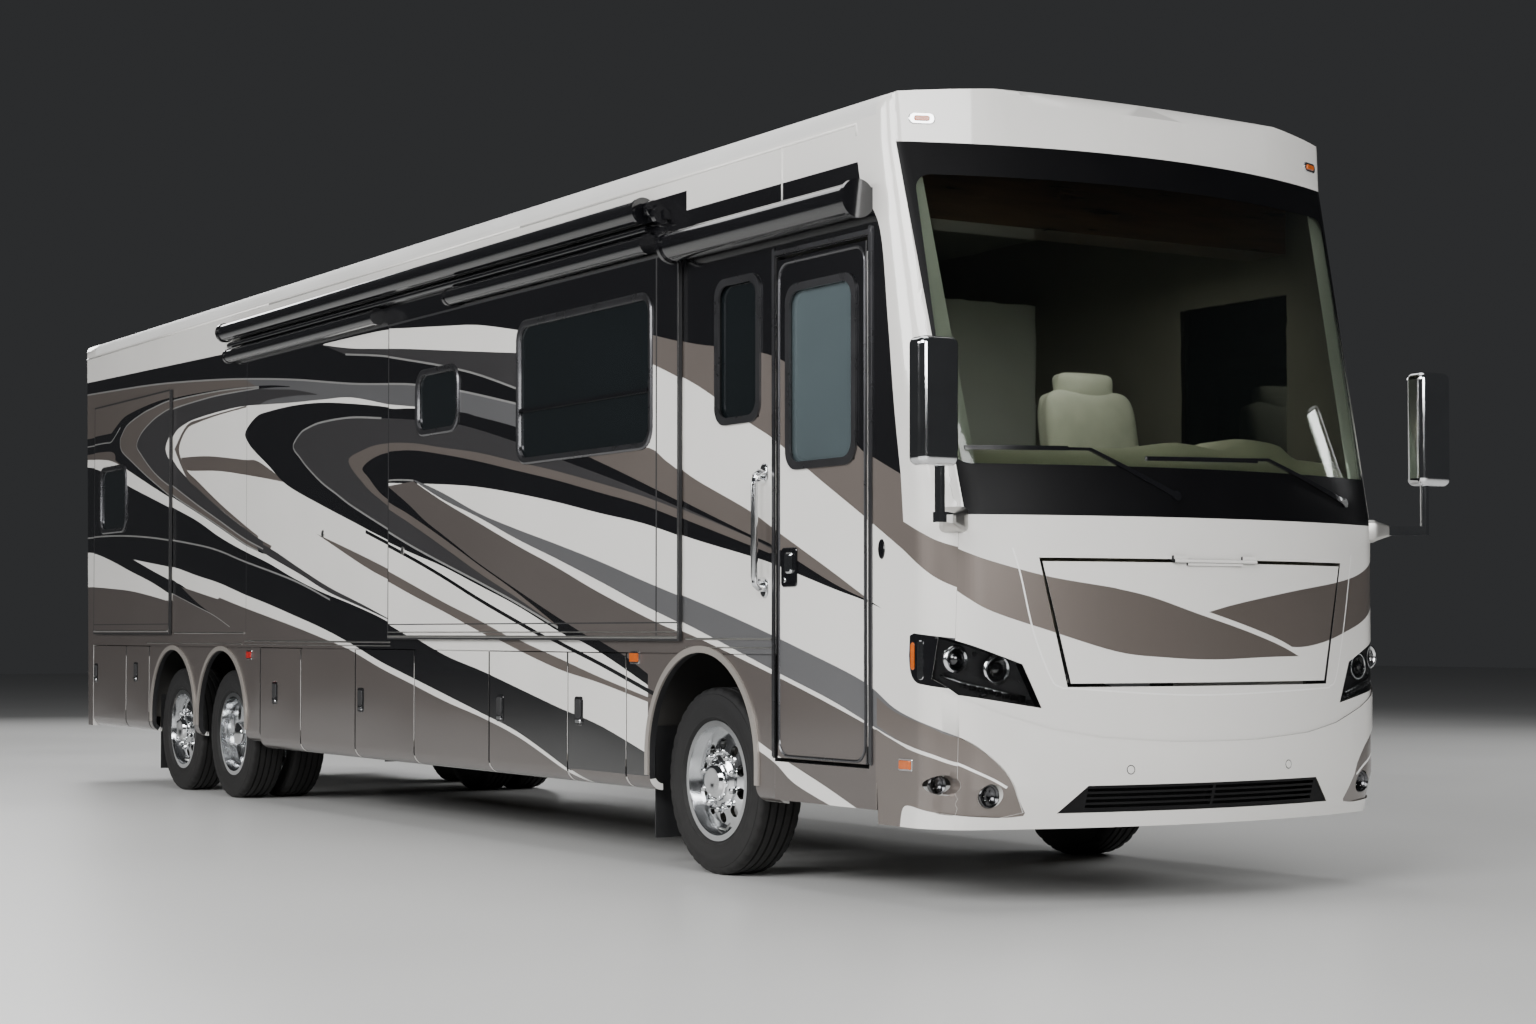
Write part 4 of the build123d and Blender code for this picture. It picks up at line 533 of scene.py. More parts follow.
SEAL_AND_SHADOW_LINES = {
    "right_wall": [seal_and_shadow_strip(2.436, 2.441, 1.2, 3.15)],
    "left_wall": [seal_and_shadow_strip(2.436, 2.441, 1.2, 3.15)],
    "mid_slide": edge_lines(-0.175, -3.864, 1.162, 3.132) + [seal_and_shadow_strip(-3.644, -3.63, 1.162, 3.132),
                                                             seal_and_shadow_strip(-3.864, -0.175, 1.25, 1.257)],
    "rear_slide": edge_lines(5.99, 4.06, 1.19, 3.07) + [seal_and_shadow_strip(4.06, 5.99, 1.265, 1.272)],
    "left_slide": edge_lines(1.9, -3.5, 1.162, 3.132) + [seal_and_shadow_strip(-3.5, 1.9, 1.25, 1.257)],
    "entry_door": edge_lines(-4.765, -5.54, 0.604, 2.975, 0.006) + [seal_and_shadow_strip(-5.54, -5.522, 0.604, 2.975)],
}
for side, label, where, panels in (
    (-1, "right", "door_side", ["right_wall", "right_skirt", "entry_door", "mid_slide", "rear_slide"]),
    (1, "left", "driver_side", ["left_wall", "left_skirt", "left_slide"]),
):
    doors = [node for node in NODES if node.startswith(f"bay_door_{label}")]
    for node in [*panels, *doors, "front_cap", "rear_cap"]:
        skin(f"{node}_skin_{where}", node, (side, 0), SIDE_PAINT + SEAL_AND_SHADOW_LINES.get(node, []), WHITE,
             lambda c, n: c.x * side > 1.2 and n.x * side >= abs(n.y) - TINY)
skin("front_cap_skin_front", "front_cap", (0, -1), FRONT_PAINT, WHITE,
     lambda c, n: -n.y > abs(n.x) and c.y < -5.6)
skin("hood_skin", "hood_panel", (0, -1), FRONT_PAINT, WHITE, lambda c, n: -n.y > 0.5)

# Finishes of the CAD nodes that have a single one
for finish, nodes in {
    WHITE: ["engine_door"],
    SHROUD: ["air_conditioners"],
    GLOSS: ["awnings", "wipers"],
    LEATHER: ["cab_seats"],
    WOOD: ["cabinets"],
    CARPET: ["cabin_floor"],
    UNDERSIDE: ["basement"],
    FRAME_PAINT: ["chassis_frame"],
    CASTING: ["front_axle", "rear_axles", "engine_block", "knuckle_right", "knuckle_left"],
    MATT: ["entry_steps", "mud_flaps"],
    MESH_BLACK: ["lower_grille"],
    DARK_GLASS: ["mid_slide_glass", "rear_slide_glass", "left_slide_glass"],
    SCREEN_GLASS: ["windshield"],
    LENS: ["lamps"],
    RUBBER: [node for node in NODES if node.endswith("_tyre")],
    POLISHED: [node for node in NODES if node.endswith("_rim")],
}.items():
    for node in nodes:
        mesh = NODES[node].data
        mesh.materials.clear()
        mesh.materials.append(finish)


# Small building blocks for the detail pieces
def piece(name, points, faces, finish, body="body", smooth_faces=False):
    mesh = bpy.data.meshes.new(name)
    mesh.from_pydata([tuple(p) for p in points], [], faces)
    mesh.materials.append(finish)
    mesh.polygons.foreach_set("use_smooth", [smooth_faces] * len(mesh.polygons))
    work = bmesh.new()
    work.from_mesh(mesh)
    bmesh.ops.recalc_face_normals(work, faces=work.faces)
    work.to_mesh(mesh)
    work.free()
    return place_object(name, mesh, body)


def shade_smooth(obj, angle):
    """Smooth shading that keeps edges sharper than the angle."""
    mesh = obj.data
    mesh.polygons.foreach_set("use_smooth", [True] * len(mesh.polygons))
    work = bmesh.new()
    work.from_mesh(mesh)
    for edge in work.edges:
        edge.smooth = len(edge.link_faces) == 2 and edge.calc_face_angle(0) < math.radians(angle)
    work.to_mesh(mesh)
    work.free()
    return obj


def regroup(node, rules):
    """Gives a CAD node's faces the finish of the first rule that holds for a face's centre and normal."""
    mesh = NODES[node].data
    mesh.materials.clear()
    for finish, _ in rules:
        mesh.materials.append(finish)
    mesh.polygons.foreach_set("material_index", [
        next(k for k, (_, rule) in enumerate(rules) if rule is None or rule(p.center, p.normal))
        for p in mesh.polygons
    ])


def circle(radius, count=24, start=0.0):
    """Even points round a circle; start shifts them by a part of a step."""
    turns = [2 * math.pi * (k + start) / count for k in range(count)]
    return [(radius * math.cos(t), radius * math.sin(t)) for t in turns]


def rounded(y, z, radius, steps=6):
    """A round-cornered (y, z) rectangle."""
    outline = []
    for cy, cz, start in (
        (y[1] - radius, z[1] - radius, 0), (y[0] + radius, z[1] - radius, 90),
        (y[0] + radius, z[0] + radius, 180), (y[1] - radius, z[0] + radius, 270),
    ):
        for k in range(steps + 1):
            t = math.radians(start + 90 * k / steps)
            outline.append((cy + radius * math.cos(t), cz + radius * math.sin(t)))
    return outline


def pill(half_across, half_up, radius):
    return rounded((-half_across, half_across), (-half_up, half_up), radius)


def side_ray(side, y, z):
    return (side * 2.2, y, z), (-side, 0, 0)


def front_ray(x, z):
    return (x, -8, z), (0, 1, 0)


TREES = {}


def seat(node, ray):
    """The place and outward normal where a ray meets a CAD node."""
    if node not in TREES:
        mesh = NODES[node].data
        corners = [tuple(p.vertices) for p in mesh.polygons]
        TREES[node] = BVHTree.FromPolygons([v.co for v in mesh.vertices], corners)
    way = Vector(ray[1])
    place, normal, _, _ = TREES[node].ray_cast(Vector(ray[0]), way)
    return place, normal if normal.dot(way) < 0 else -normal


ALL_ROUND = 181


class Heap:
    """Collects several closed shapes into one piece. Its methods return it, so that calls can be chained."""

    def __init__(self):
        self.points = []
        self.faces = []

    def loft(self, rings, closed=False):
        """Joins rings of equal length and caps the two ends."""
        first, count = len(self.points), len(rings[0])
        self.points += [Vector(p) for ring in rings for p in ring]
        faces = []
        for k in range(len(rings) if closed else len(rings) - 1):
            m = (k + 1) % len(rings)
            for i in range(count):
                j = (i + 1) % count
                faces.append([k * count + i, k * count + j, m * count + j, m * count + i])
        if not closed:
            faces.append(list(range(count)))
            faces.append([(len(rings) - 1) * count + i for i in range(count)])
        self.faces += [[first + i for i in face] for face in faces]
        return self

    def tube(self, line, radius, sides=10, closed=False):
        rings = []
        line = [Vector(p) for p in line]
        count = len(line)
        for k, p in enumerate(line):
            a = line[k - 1] if closed or k else p
            b = line[(k + 1) % count] if closed or k < count - 1 else p
            ahead = (b - a).normalized()
            across = ahead.cross(Vector((0.13, 0.27, 0.95))).normalized()
            up = ahead.cross(across)
            rings.append([p + c * across + s * up for c, s in circle(radius, sides)])
        return self.loft(rings, closed)

    def lathe(self, profile, centre, way, sides=48, axis=0):
        """Turns (radius, height) points about an axis through centre; height grows along way."""
        others = [i for i in (0, 1, 2) if i != axis]
        rings = []
        for radius, height in profile:
            ring = []
            for c, s in circle(radius, sides):
                p = Vector(centre)
                p[axis] += way * height
                p[others[0]] += c
                p[others[1]] += s
                ring.append(p)
            rings.append(ring)
        return self.loft(rings)

    def slab(self, outline, x, bevel=0.0):
        """A plate along X from a (y, z) outline, with its outer edge eased by bevel."""
        mid = [sum(p[i] for p in outline) / len(outline) for i in (0, 1)]
        size = max(max(abs(p[i] - mid[i]) for p in outline) for i in (0, 1))
        inner = [tuple(mid[i] + (p[i] - mid[i]) * (1 - bevel / size) for i in (0, 1)) for p in outline]
        way = 1 if x[1] > x[0] else -1
        rings = [[(x[0], *p) for p in outline], [(x[1] - way * bevel, *p) for p in outline]]
        if bevel:
            rings.append([(x[1], *p) for p in inner])
        return self.loft(rings)

    def box(self, x, y, z):
        return self.slab([(y[0], z[0]), (y[1], z[0]), (y[1], z[1]), (y[0], z[1])], x)

    def stamp(self, node, ray, outline, rise, bevel=0.0, sink=0.004):
        """A plate with the outline (across, up) that stands by rise on the surface that the ray meets."""
        place, normal = seat(node, ray)
        across = Vector((0, 0, 1)).cross(normal).normalized()
        up = normal.cross(across)
        reach = max(max(abs(a), abs(b)) for a, b in outline)
        levels = [(-sink, 1), (rise - bevel, 1)]
        if bevel:
            levels.append((rise, 1 - bevel / reach))
        return self.loft([
            [place + across * a * k + up * b * k + normal * h for a, b in outline] for h, k in levels
        ])

    def make(self, name, finish, body="body", angle=0):
        """One object of all shapes: flat faces, or smooth ones but for edges sharper than the angle."""
        made = piece(name, self.points, self.faces, finish, body)
        return shade_smooth(made, angle) if angle else made


def plate(name, finish, node, ray, outline, rise, bevel=0.0):
    """A single stamped plate that rides with the CAD node it stands on."""
    Heap().stamp(node, ray, outline, rise, bevel).make(name, finish, BODY_OF[node])


# Wheels: tyres with grooves and shoulder cuts, rims with nuts and hub covers
TYRE_SIDES = 144
TYRE_HALF_WIDTH = 0.1275
TWIN_PITCH = 0.311
RIM_FACE = 0.062
GROOVE_DEPTH = 0.013
NUT = [(0.021, 0.009), (0.021, 0.015), (0.0165, 0.018), (0.0165, 0.04), (0.012, 0.047), (0.002, 0.049)]
# Hub cover's profile, its bolts' profile and their circle
DRIVE_HUB = ([(0.096, 0.045), (0.096, 0.062), (0.088, 0.07), (0.086, 0.13), (0.08, 0.14), (0.04, 0.146),
              (0.002, 0.148)], [(0.008, 0.066), (0.008, 0.076), (0.002, 0.078)], circle(0.091, 8))
FLAT_HUB = ([(0.1, 0.038), (0.1, 0.047), (0.09, 0.051), (0.088, 0.056), (0.076, 0.066), (0.072, 0.07),
             (0.06, 0.071), (0.02, 0.067), (0.002, 0.067)], [(0.007, 0.045), (0.007, 0.056), (0.002, 0.058)],
            circle(0.093, 6))


def tyre_profile(radius):
    """A tyre's outline from bead to bead as (radius, x): side walls, shoulders and four grooves."""
    half = TYRE_HALF_WIDTH
    profile = [(0.3006, 0.1), (0.309, 0.112), (0.318, 0.1195), (0.326, 0.1185), (0.334, 0.1205),
               (0.36, 0.1255), (0.377, half - 0.001), (0.38, half + 0.0001), (0.404, half - 0.001),
               (radius - 0.034, 0.122), (radius - 0.0315, 0.119), (radius - 0.02, 0.118),
               (radius - 0.01, 0.1125), (radius - 0.003, 0.104), (radius, 0.094)]
    for x in (0.066, 0.022):
        profile += [(radius, x + 0.007), (radius - GROOVE_DEPTH, x + 0.004),
                    (radius - GROOVE_DEPTH, x - 0.004), (radius, x - 0.007)]
    return profile + [(r, -x) for r, x in reversed(profile)]


for wheel in [node.removesuffix("_tyre") for node in NODES if node.endswith("_tyre")]:
    body = f"{wheel}_wheel"
    low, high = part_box(f"{wheel}_tyre")
    side = -1 if "right" in wheel else 1
    y, z = (low.y + high.y) / 2, (low.z + high.z) / 2
    radius = (high.z - low.z) / 2
    outer_x = side * (max(abs(low.x), abs(high.x)) - TYRE_HALF_WIDTH)
    dual = high.x - low.x > 0.3
    tyres, nuts, cover = Heap(), Heap(), Heap()
    for tyre_x in [outer_x, outer_x - side * TWIN_PITCH] if dual else [outer_x]:
        rings = []
        for r, x in tyre_profile(radius):
            ring = []
            for i in range(TYRE_SIDES):
                t = 2 * math.pi * i / TYRE_SIDES
                cut = 0.007 if i % 4 == 0 and radius - 0.025 < r and abs(x) > 0.074 else 0
                ring.append((tyre_x + x, y + (r - cut) * math.cos(t), z + (r - cut) * math.sin(t)))
            rings.append(ring)
        tyres.loft(rings, closed=True)
    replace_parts(tyres.make(f"{wheel}_tread_tyre", RUBBER, body, 28), f"{wheel}_tyre")
    face = outer_x + side * (-RIM_FACE if dual else RIM_FACE)
    for a, b in circle(0.142, 10, 0.5):
        nuts.lathe(NUT, (face, y + a, z + b), side, 12)
    nuts.make(f"{wheel}_wheel_nuts", CHROME, body, 30)
    hub, bolt, bolt_circle = DRIVE_HUB if dual else FLAT_HUB
    cover.lathe(hub, (face, y, z), side, 40)
    for a, b in bolt_circle:
        cover.lathe(bolt, (face, y + a, z + b), side, 8)
    cover.make(f"{wheel}_hub_cover", CHROME, body, 30)
    valve_line = [(face - side * 0.01, y, z - 0.245), (face + side * 0.03, y, z - 0.235)]
    Heap().tube(valve_line, 0.006, 8).make(f"{wheel}_valve", SATIN, body)
    shade_smooth(NODES[f"{wheel}_rim"], 30)

# Glass and frames share nodes: the frames stand outside the panes
for node, pane in (("side_windows", DARK_GLASS), ("entry_door_glass", DOOR_GLASS)):
    regroup(node, [(TRIM, lambda c, n: abs(c.x) > 1.295), (pane, None)])
    shade_smooth(NODES[node], 30)

# Frames round the slide windows, as (y rear, y front, z low, z high), and their section as (x, growth)
SLIDE_WINDOWS = {
    "mid_slide": [(-0.637, -1.211, 2.425, 2.773), (-2.044, -3.571, 2.176, 2.93)],
    "rear_slide": [(5.8, 5.14, 2.04, 2.53)],
    "left_slide": [(-2.1, -3.2, 2.176, 2.93), (1.3, 0.3, 2.3, 2.85)],
}
FRAME_SECTION = [(1.327, 0.03), (1.335, 0.03), (1.341, 0.02), (1.341, 0.008), (1.336, -0.008),
                 (1.322, -0.01), (1.322, 0)]
for node, windows in SLIDE_WINDOWS.items():
    side = 1 if node == "left_slide" else -1
    frames = Heap()
    for rear, front, low, high in windows:
        rings = []
        for x, grow in FRAME_SECTION:
            outline = rounded((front - grow, rear + grow), (low - grow, high + grow), 0.085 + grow)
            rings.append([(side * x, *p) for p in outline])
        frames.loft(rings, closed=True)
    frames.make(f"{node}_window_frames", TRIM, node, 30)


# Inside faces of the body shell, and its panel gaps' faces in seal black, which stands for seals and paints
# the shade in the gaps
def gap_face(c, n):
    return abs(c.x) > 1.2 and abs(n.x) < 0.5 and abs(c.y) < 5.7 and c.z < 3.2


def cap_back(c, n):
    """Whether a nose cap's face looks back into the vehicle."""
    return n.x * c.x * 0.8 + n.y * (c.y + 5.3) < 0


for node in ("right_wall", "left_wall"):
    regroup(node, [(SEAL_AND_GAP_SHADE, gap_face), (LINER, lambda c, n: abs(c.x) < 1.262 and c.z > 1.1), (WHITE, None)])
for node in ("front_cap", "rear_cap"):
    regroup(node, [
        (WHITE, lambda c, n: n.z > 0.4 and c.z > 3.3),
        # Seam faces and the hood opening's edge faces in seal black, as painted shade in those gaps
        (SEAL_AND_GAP_SHADE, lambda c, n: abs(abs(c.y) - 5.608) < 0.01 and abs(n.y) > 0.9),
        (SEAL_AND_GAP_SHADE, lambda c, n: c.y < -5.9 and 0.97 < c.z < 1.56 and abs(c.x) < 0.87 and abs(n.y) < 0.6),
        (UNDERSIDE, lambda c, n: c.y < -5.5 and c.z < 1.25 and cap_back(c, n)),
        (LINER, lambda c, n: c.y < 0 and c.z > 1.25 and cap_back(c, n)),
        (LINER, lambda c, n: abs(c.x) < 1.262 and abs(c.y + 0.1) < 6.1 and c.z > 1.1),
        (WHITE, None),
    ])
for node in ("mid_slide", "rear_slide", "left_slide"):
    low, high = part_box(node)
    middle = (low + high) / 2
    regroup(node, [
        (WHITE, lambda c, n: abs(n.x) > 0.5 and abs(c.x) > 1.3),
        # Edge faces beyond the wall in seal black: seals, and painted shade of the slide's gap
        (SEAL_AND_GAP_SHADE, lambda c, n: abs(c.x) > 1.3),
        (WHITE, lambda c, n: n.y * (c.y - middle.y) > 0.1 or n.z * (c.z - middle.z) > 0.1),
        (LINER, None),
    ])
# The entry door's gap faces are seal black: painted shade of the door's gap
regroup("entry_door", [(SEAL_AND_GAP_SHADE, gap_face), (LINER, lambda c, n: abs(c.x) < 1.262), (WHITE, None)])
# Gap faces of the bay doors and skirts are seal black: painted shade of their gaps
for node in NODES:
    if node.startswith("bay_door") or node.endswith("_skirt"):
        regroup(node, [(SEAL_AND_GAP_SHADE, lambda c, n: abs(n.x) < 0.5 and abs(c.x) > 1.2 and c.z > 0.45), (WHITE, None)])
# The hood's edge faces are seal black: painted shade of the hood seam
regroup("hood_panel", [(SEAL_AND_GAP_SHADE, lambda c, n: abs(n.y) < 0.6), (WHITE, None)])
regroup("roof", [(LINER, lambda c, n: n.z < -0.5), (ROOFING, None)])
regroup("dashboard", [
    (MATT, lambda c, n: abs(c.x - 0.6) < 0.24 and c.y > -5.72 and c.z > 1.52),
    (DASH, None),
])
# The arch mouldings, as (y, reach), are painted; the grab handle of the same node is bright
ARCHES = [(-4.045, 0.62), (2.94, 0.56), (4.03, 0.56)]
regroup("bright_trim", [
    (PEARL, lambda c, n: c.z < 1.2 and any(abs(c.y - y) < reach for y, reach in ARCHES)),
    (CHROME, None),
])
regroup("mirrors", [(POLISHED, lambda c, n: n.y > 0.95 and c.z > 1.92), (CHROME, None)])
for node, angle in (("dashboard", 40), ("mirrors", 30), ("bright_trim", 30), ("awnings", 30), ("roof", 25),
                    ("air_conditioners", 30)):
    shade_smooth(NODES[node], angle)

# Dark board behind the grille, a sheet of painted shade for the dark space behind it, so the floor doesn't
# show between its slats
Heap().box((-0.8, 0.8), (-6.19, -6.18), (0.4, 0.57)).make("grille_shade_board", MESH_BLACK)

# Black border of the windshield
SCREEN_BORDER = [
    region(BORDER, [(-1.4, 1.6), (1.4, 1.6), (1.4, 3.5), (-1.4, 3.5)]),
    (None, rounded((-1.215, 1.215), (1.935, 3.235), 0.07)),
]
skin("windshield_border", "windshield", (0, -1), SCREEN_BORDER, None, lambda c, n: -n.y > 0.05, 0.0012, 0.05)

# Lamps: housings, bowls and clear covers at the places of the CAD lamps
lamp_mesh = NODES["lamps"].data


def lamp_islands():
    """The CAD lamp solids, each as its list of polygons."""
    owner = list(range(len(lamp_mesh.vertices)))

    def root(i):
        while owner[i] != i:
            owner[i] = owner[owner[i]]
            i = owner[i]
        return i

    spots = {}
    for v in lamp_mesh.vertices:
        key = tuple(round(c, 4) for c in v.co)
        if key in spots:
            owner[root(v.index)] = root(spots[key])
        spots[key] = v.index
    for p in lamp_mesh.polygons:
        for v in p.vertices[1:]:
            owner[root(v)] = root(p.vertices[0])
    islands = {}
    for p in lamp_mesh.polygons:
        islands.setdefault(root(p.vertices[0]), []).append(p)
    return list(islands.values())


def offset_copy(name, polygons, finish, shift=(0, 0, 0), smooth_faces=True):
    """A copy of CAD lamp faces moved by a vector."""
    index, points, faces = {}, [], []
    for p in polygons:
        ids = []
        for v in p.vertices:
            key = tuple(round(c, 5) for c in lamp_mesh.vertices[v].co)
            if key not in index:
                index[key] = len(points)
                points.append(Vector(key) + Vector(shift))
            ids.append(index[key])
        if len(set(ids)) == len(ids):
            faces.append(ids)
    return piece(name, points, faces, finish, smooth_faces=smooth_faces)


def turned_to_front(name, profile, spots, sides, finish):
    """Turned shapes that face forwards, one at each spot."""
    heap = Heap()
    for spot in spots:
        heap.lathe(profile, spot, -1, sides, 1)
    return heap.make(name, finish, angle=ALL_ROUND)


DARK_CHROME = material("dark_chrome_housing", (0.1, 0.1, 0.105), 0.18, 1.0, mottle=(0.1, 20, 0.05))
HOUSING = material("lamp_housing", (0.02, 0.02, 0.022), 0.3, 0.4, mottle=(0.2, 20, 0.08))
lamp_pieces = []
for number, island in enumerate(lamp_islands()):
    centre = sum((p.center for p in island), Vector()) / len(island)
    spots = [lamp_mesh.vertices[v].co for p in island for v in p.vertices]
    low, high = (Vector((pick(s[i] for s in spots) for i in (0, 1, 2))) for pick in (min, max))
    side = -1 if centre.x < 0 else 1
    label = f"lamp_{number}"
    outward = [p for p in island if -p.normal.y > 0.3 or p.normal.x * side > 0.75]
    if centre.y > 6:
        bezel_line = [(x, high.y + 0.002, z) for x, z in rounded((low.x, high.x), (low.z, high.z), 0.02)]
        lamp_pieces += [
            offset_copy(f"{label}_tail", island, RED, smooth_faces=False),
            Heap().tube(bezel_line, 0.006, 8, True).make(f"{label}_bezel", CHROME, angle=ALL_ROUND),
        ]
    elif abs(centre.x) > 1.3 and centre.y > -5:
        lens = AMBER if centre.y < 0 else RED
        lamp_pieces.append(offset_copy(f"{label}_marker", island, lens, smooth_faces=False))
    elif high.x - low.x < 0.15:
        r = (high.z - low.z) / 2
        spot = (low + high) / 2
        spot.y = sum(p.center.y for p in outward) / len(outward)
        bowl = [(r, -0.004), (r, 0.004), (r * 0.86, 0.008), (r * 0.8, -0.004), (r * 0.5, -0.03),
                (0.004, -0.036)]
        collar = [(r + 0.001, -0.006), (r + 0.001, 0.009), (r * 0.9, 0.012), (r * 0.88, -0.006)]
        cell = [(r * 0.2, -0.02), (r * 0.17, -0.008), (r * 0.1, -0.003), (0.001, -0.001)]
        cell_spots = [spot + Vector((a, 0, b)) for a, b in [(0, 0), *circle(r * 0.46, 6)]]
        lamp_pieces += [
            turned_to_front(f"{label}_bowl", bowl, [spot], 32, DARK_CHROME),
            turned_to_front(f"{label}_collar", collar, [spot], 32, GLOSS),
            turned_to_front(f"{label}_cells", cell, cell_spots, 16, LENS),
        ]
    else:
        walls = [p for p in island if p not in outward and p.normal.y < 0.5]
        lamp_pieces += [
            offset_copy(f"{label}_cover", outward, LENS),
            offset_copy(f"{label}_back", outward, HOUSING, (-side * 0.01, 0.055, 0)),
            offset_copy(f"{label}_walls", walls, DARK_CHROME, (0, 0.003, 0), False),
        ]
for lamp_piece in lamp_pieces:
    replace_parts(lamp_piece, "lamps")

# Headlamp insides: two projectors, light strips and cells, and the part that wraps onto the cap's flank
HEADLAMP_EYES = [(1.21, 1.088, 0.05), (1.055, 1.045, 0.056)]
for side in (-1, 1):
    eyes, rings, cells = Heap(), Heap(), Heap()
    for x, z, r in HEADLAMP_EYES:
        face, _ = seat("lamps", front_ray(side * x, z))
        spot = (side * x, face.y + 0.042, z)
        rings.lathe([(r + 0.012, 0), (r + 0.012, 0.02), (r, 0.026), (r - 0.006, 0.01), (r * 0.75, 0),
                     (0.002, -0.002)], spot, -1, 40, 1)
        eyes.lathe([(r * 0.72, 0.004), (r * 0.68, 0.016), (r * 0.5, 0.028), (r * 0.25, 0.034),
                    (0.001, 0.036)], spot, -1, 32, 1)
    for k in range(9):
        x, z = 1.19 - 0.034 * k, 0.972 - 0.009 * k
        face, _ = seat("lamps", front_ray(side * x, z))
        cells.slab(rounded((face.y + 0.012, face.y + 0.03), (z - 0.008, z + 0.012), 0.004),
                   (side * (x - 0.013), side * (x + 0.013)), 0.002)
    rings.make(f"headlamp_rings_{side + 1}", POLISHED, angle=ALL_ROUND)
    eyes.make(f"headlamp_eyes_{side + 1}", GLOSS, angle=ALL_ROUND)
    cells.make(f"headlamp_cells_{side + 1}", DARK_CHROME)
    strip_line = [(side * 1.255, -6.035, 1.02), (side * 1.18, -6.1, 0.985), (side * 1.05, -6.165, 0.95),
                  (side * 0.93, -6.2, 0.922)]
    Heap().tube(strip_line, 0.007).make(f"headlamp_strip_{side + 1}", POLISHED, angle=ALL_ROUND)
    plate(f"headlamp_flank_{side + 1}", CHROME, "front_cap", side_ray(side, -5.945, 1.083),
          pill(0.02, 0.085, 0.015), 0.004, 0.002)
    plate(f"headlamp_amber_{side + 1}", AMBER, "front_cap", side_ray(side, -5.89, 1.1),
          pill(0.013, 0.06, 0.012), 0.004, 0.002)

# Paddle latches of the bay doors
LATCHES = {
    "bay_door_right_1": (6, 0.87), "bay_door_right_2": (4.943, 0.89), "bay_door_right_3": (1.856, 0.785),
    "bay_door_right_4": (0.316, 0.771), "bay_door_right_5": (-1.743, 0.771),
    "bay_door_right_6": (-2.728, 0.78),
    "bay_door_left_1": (6, 0.87), "bay_door_left_2": (0.316, 0.771), "bay_door_left_3": (-1.743, 0.771),
}
for node, (y, z) in LATCHES.items():
    side = -1 if "right" in node else 1
    plate(f"{node}_latch_tray", GLOSS, node, side_ray(side, y, z), pill(0.05, 0.078, 0.02), 0.004, 0.002)
    plate(f"{node}_latch_paddle", MATT, node, side_ray(side, y, z + 0.012),
          rounded((-0.032, 0.032), (-0.05, 0.052), 0.014), 0.011, 0.004)
    plate(f"{node}_latch_lip", CHROME, node, side_ray(side, y, z - 0.056), pill(0.03, 0.01, 0.008), 0.012,
          0.005)

# Entry door latch and the bell push beside it
for name, finish, y, z, outline, rise, bevel in (
    ("latch_plate", GLOSS, -4.88, 1.51, pill(0.068, 0.092, 0.018), 0.008, 0.003),
    ("latch_grip", CHROME, -4.89, 1.53, pill(0.03, 0.05, 0.014), 0.022, 0.008),
    ("latch_lock", CHROME, -4.845, 1.45, circle(0.012), 0.013, 0.003),
):
    plate(f"entry_{name}", finish, "entry_door", side_ray(-1, y, z), outline, rise, bevel)
plate("entry_bell_push", GLOSS, "front_cap", side_ray(-1, -5.652, 1.574),
      [(a * 0.55, b) for a, b in circle(0.045)], 0.006, 0.003)

# Round locks on the walls
for name, node, y, z in (("water_port_lock", "right_wall", 0.98, 1.859),
                         ("power_port_lock", "mid_slide", -0.409, 1.708)):
    plate(f"{name}_ring", SATIN, node, side_ray(-1, y, z), circle(0.026), 0.004, 0.002)
    plate(f"{name}_core", MATT, node, side_ray(-1, y, z), circle(0.014), 0.007, 0.002)

# Trims start just inside the walls' outer face
TRIM_ROOT = 1.2995

# Marker lamps: side amber on the cap, two on its brow, bezels round the CAD markers; sensors of the bumper
for side, label in ((-1, "right"), (1, "left")):
    flank = side_ray(side, -5.837, 0.625)
    plate(f"cap_marker_bezel_{label}", POLISHED, "front_cap", flank, pill(0.052, 0.027, 0.007), 0.006, 0.003)
    plate(f"cap_marker_{label}", AMBER, "front_cap", flank, pill(0.044, 0.02, 0.005), 0.013, 0.005)
    brow = front_ray(side * 1.16, 3.49)
    plate(f"brow_marker_bezel_{label}", POLISHED, "front_cap", brow, pill(0.06, 0.024, 0.022), 0.008, 0.004)
    plate(f"brow_marker_{label}", AMBER, "front_cap", brow, pill(0.036, 0.012, 0.01), 0.014, 0.004)
    bezels = Heap()
    for y, z in ((-3.365, 1.074), (2.354, 1.045)):
        outline = rounded((y - 0.05, y + 0.05), (z - 0.033, z + 0.033), 0.008)
        bezels.slab(outline, (side * TRIM_ROOT, side * 1.308), 0.003)
    bezels.make(f"side_marker_bezels_{label}", POLISHED)
    bumper = front_ray(side * 0.461, 0.604)
    plate(f"bumper_sensor_ring_{label}", SEAL_AND_GAP_SHADE, "front_cap", bumper, circle(0.021), 0.0012)
    plate(f"bumper_sensor_{label}", WHITE, "front_cap", bumper, circle(0.017), 0.003, 0.001)

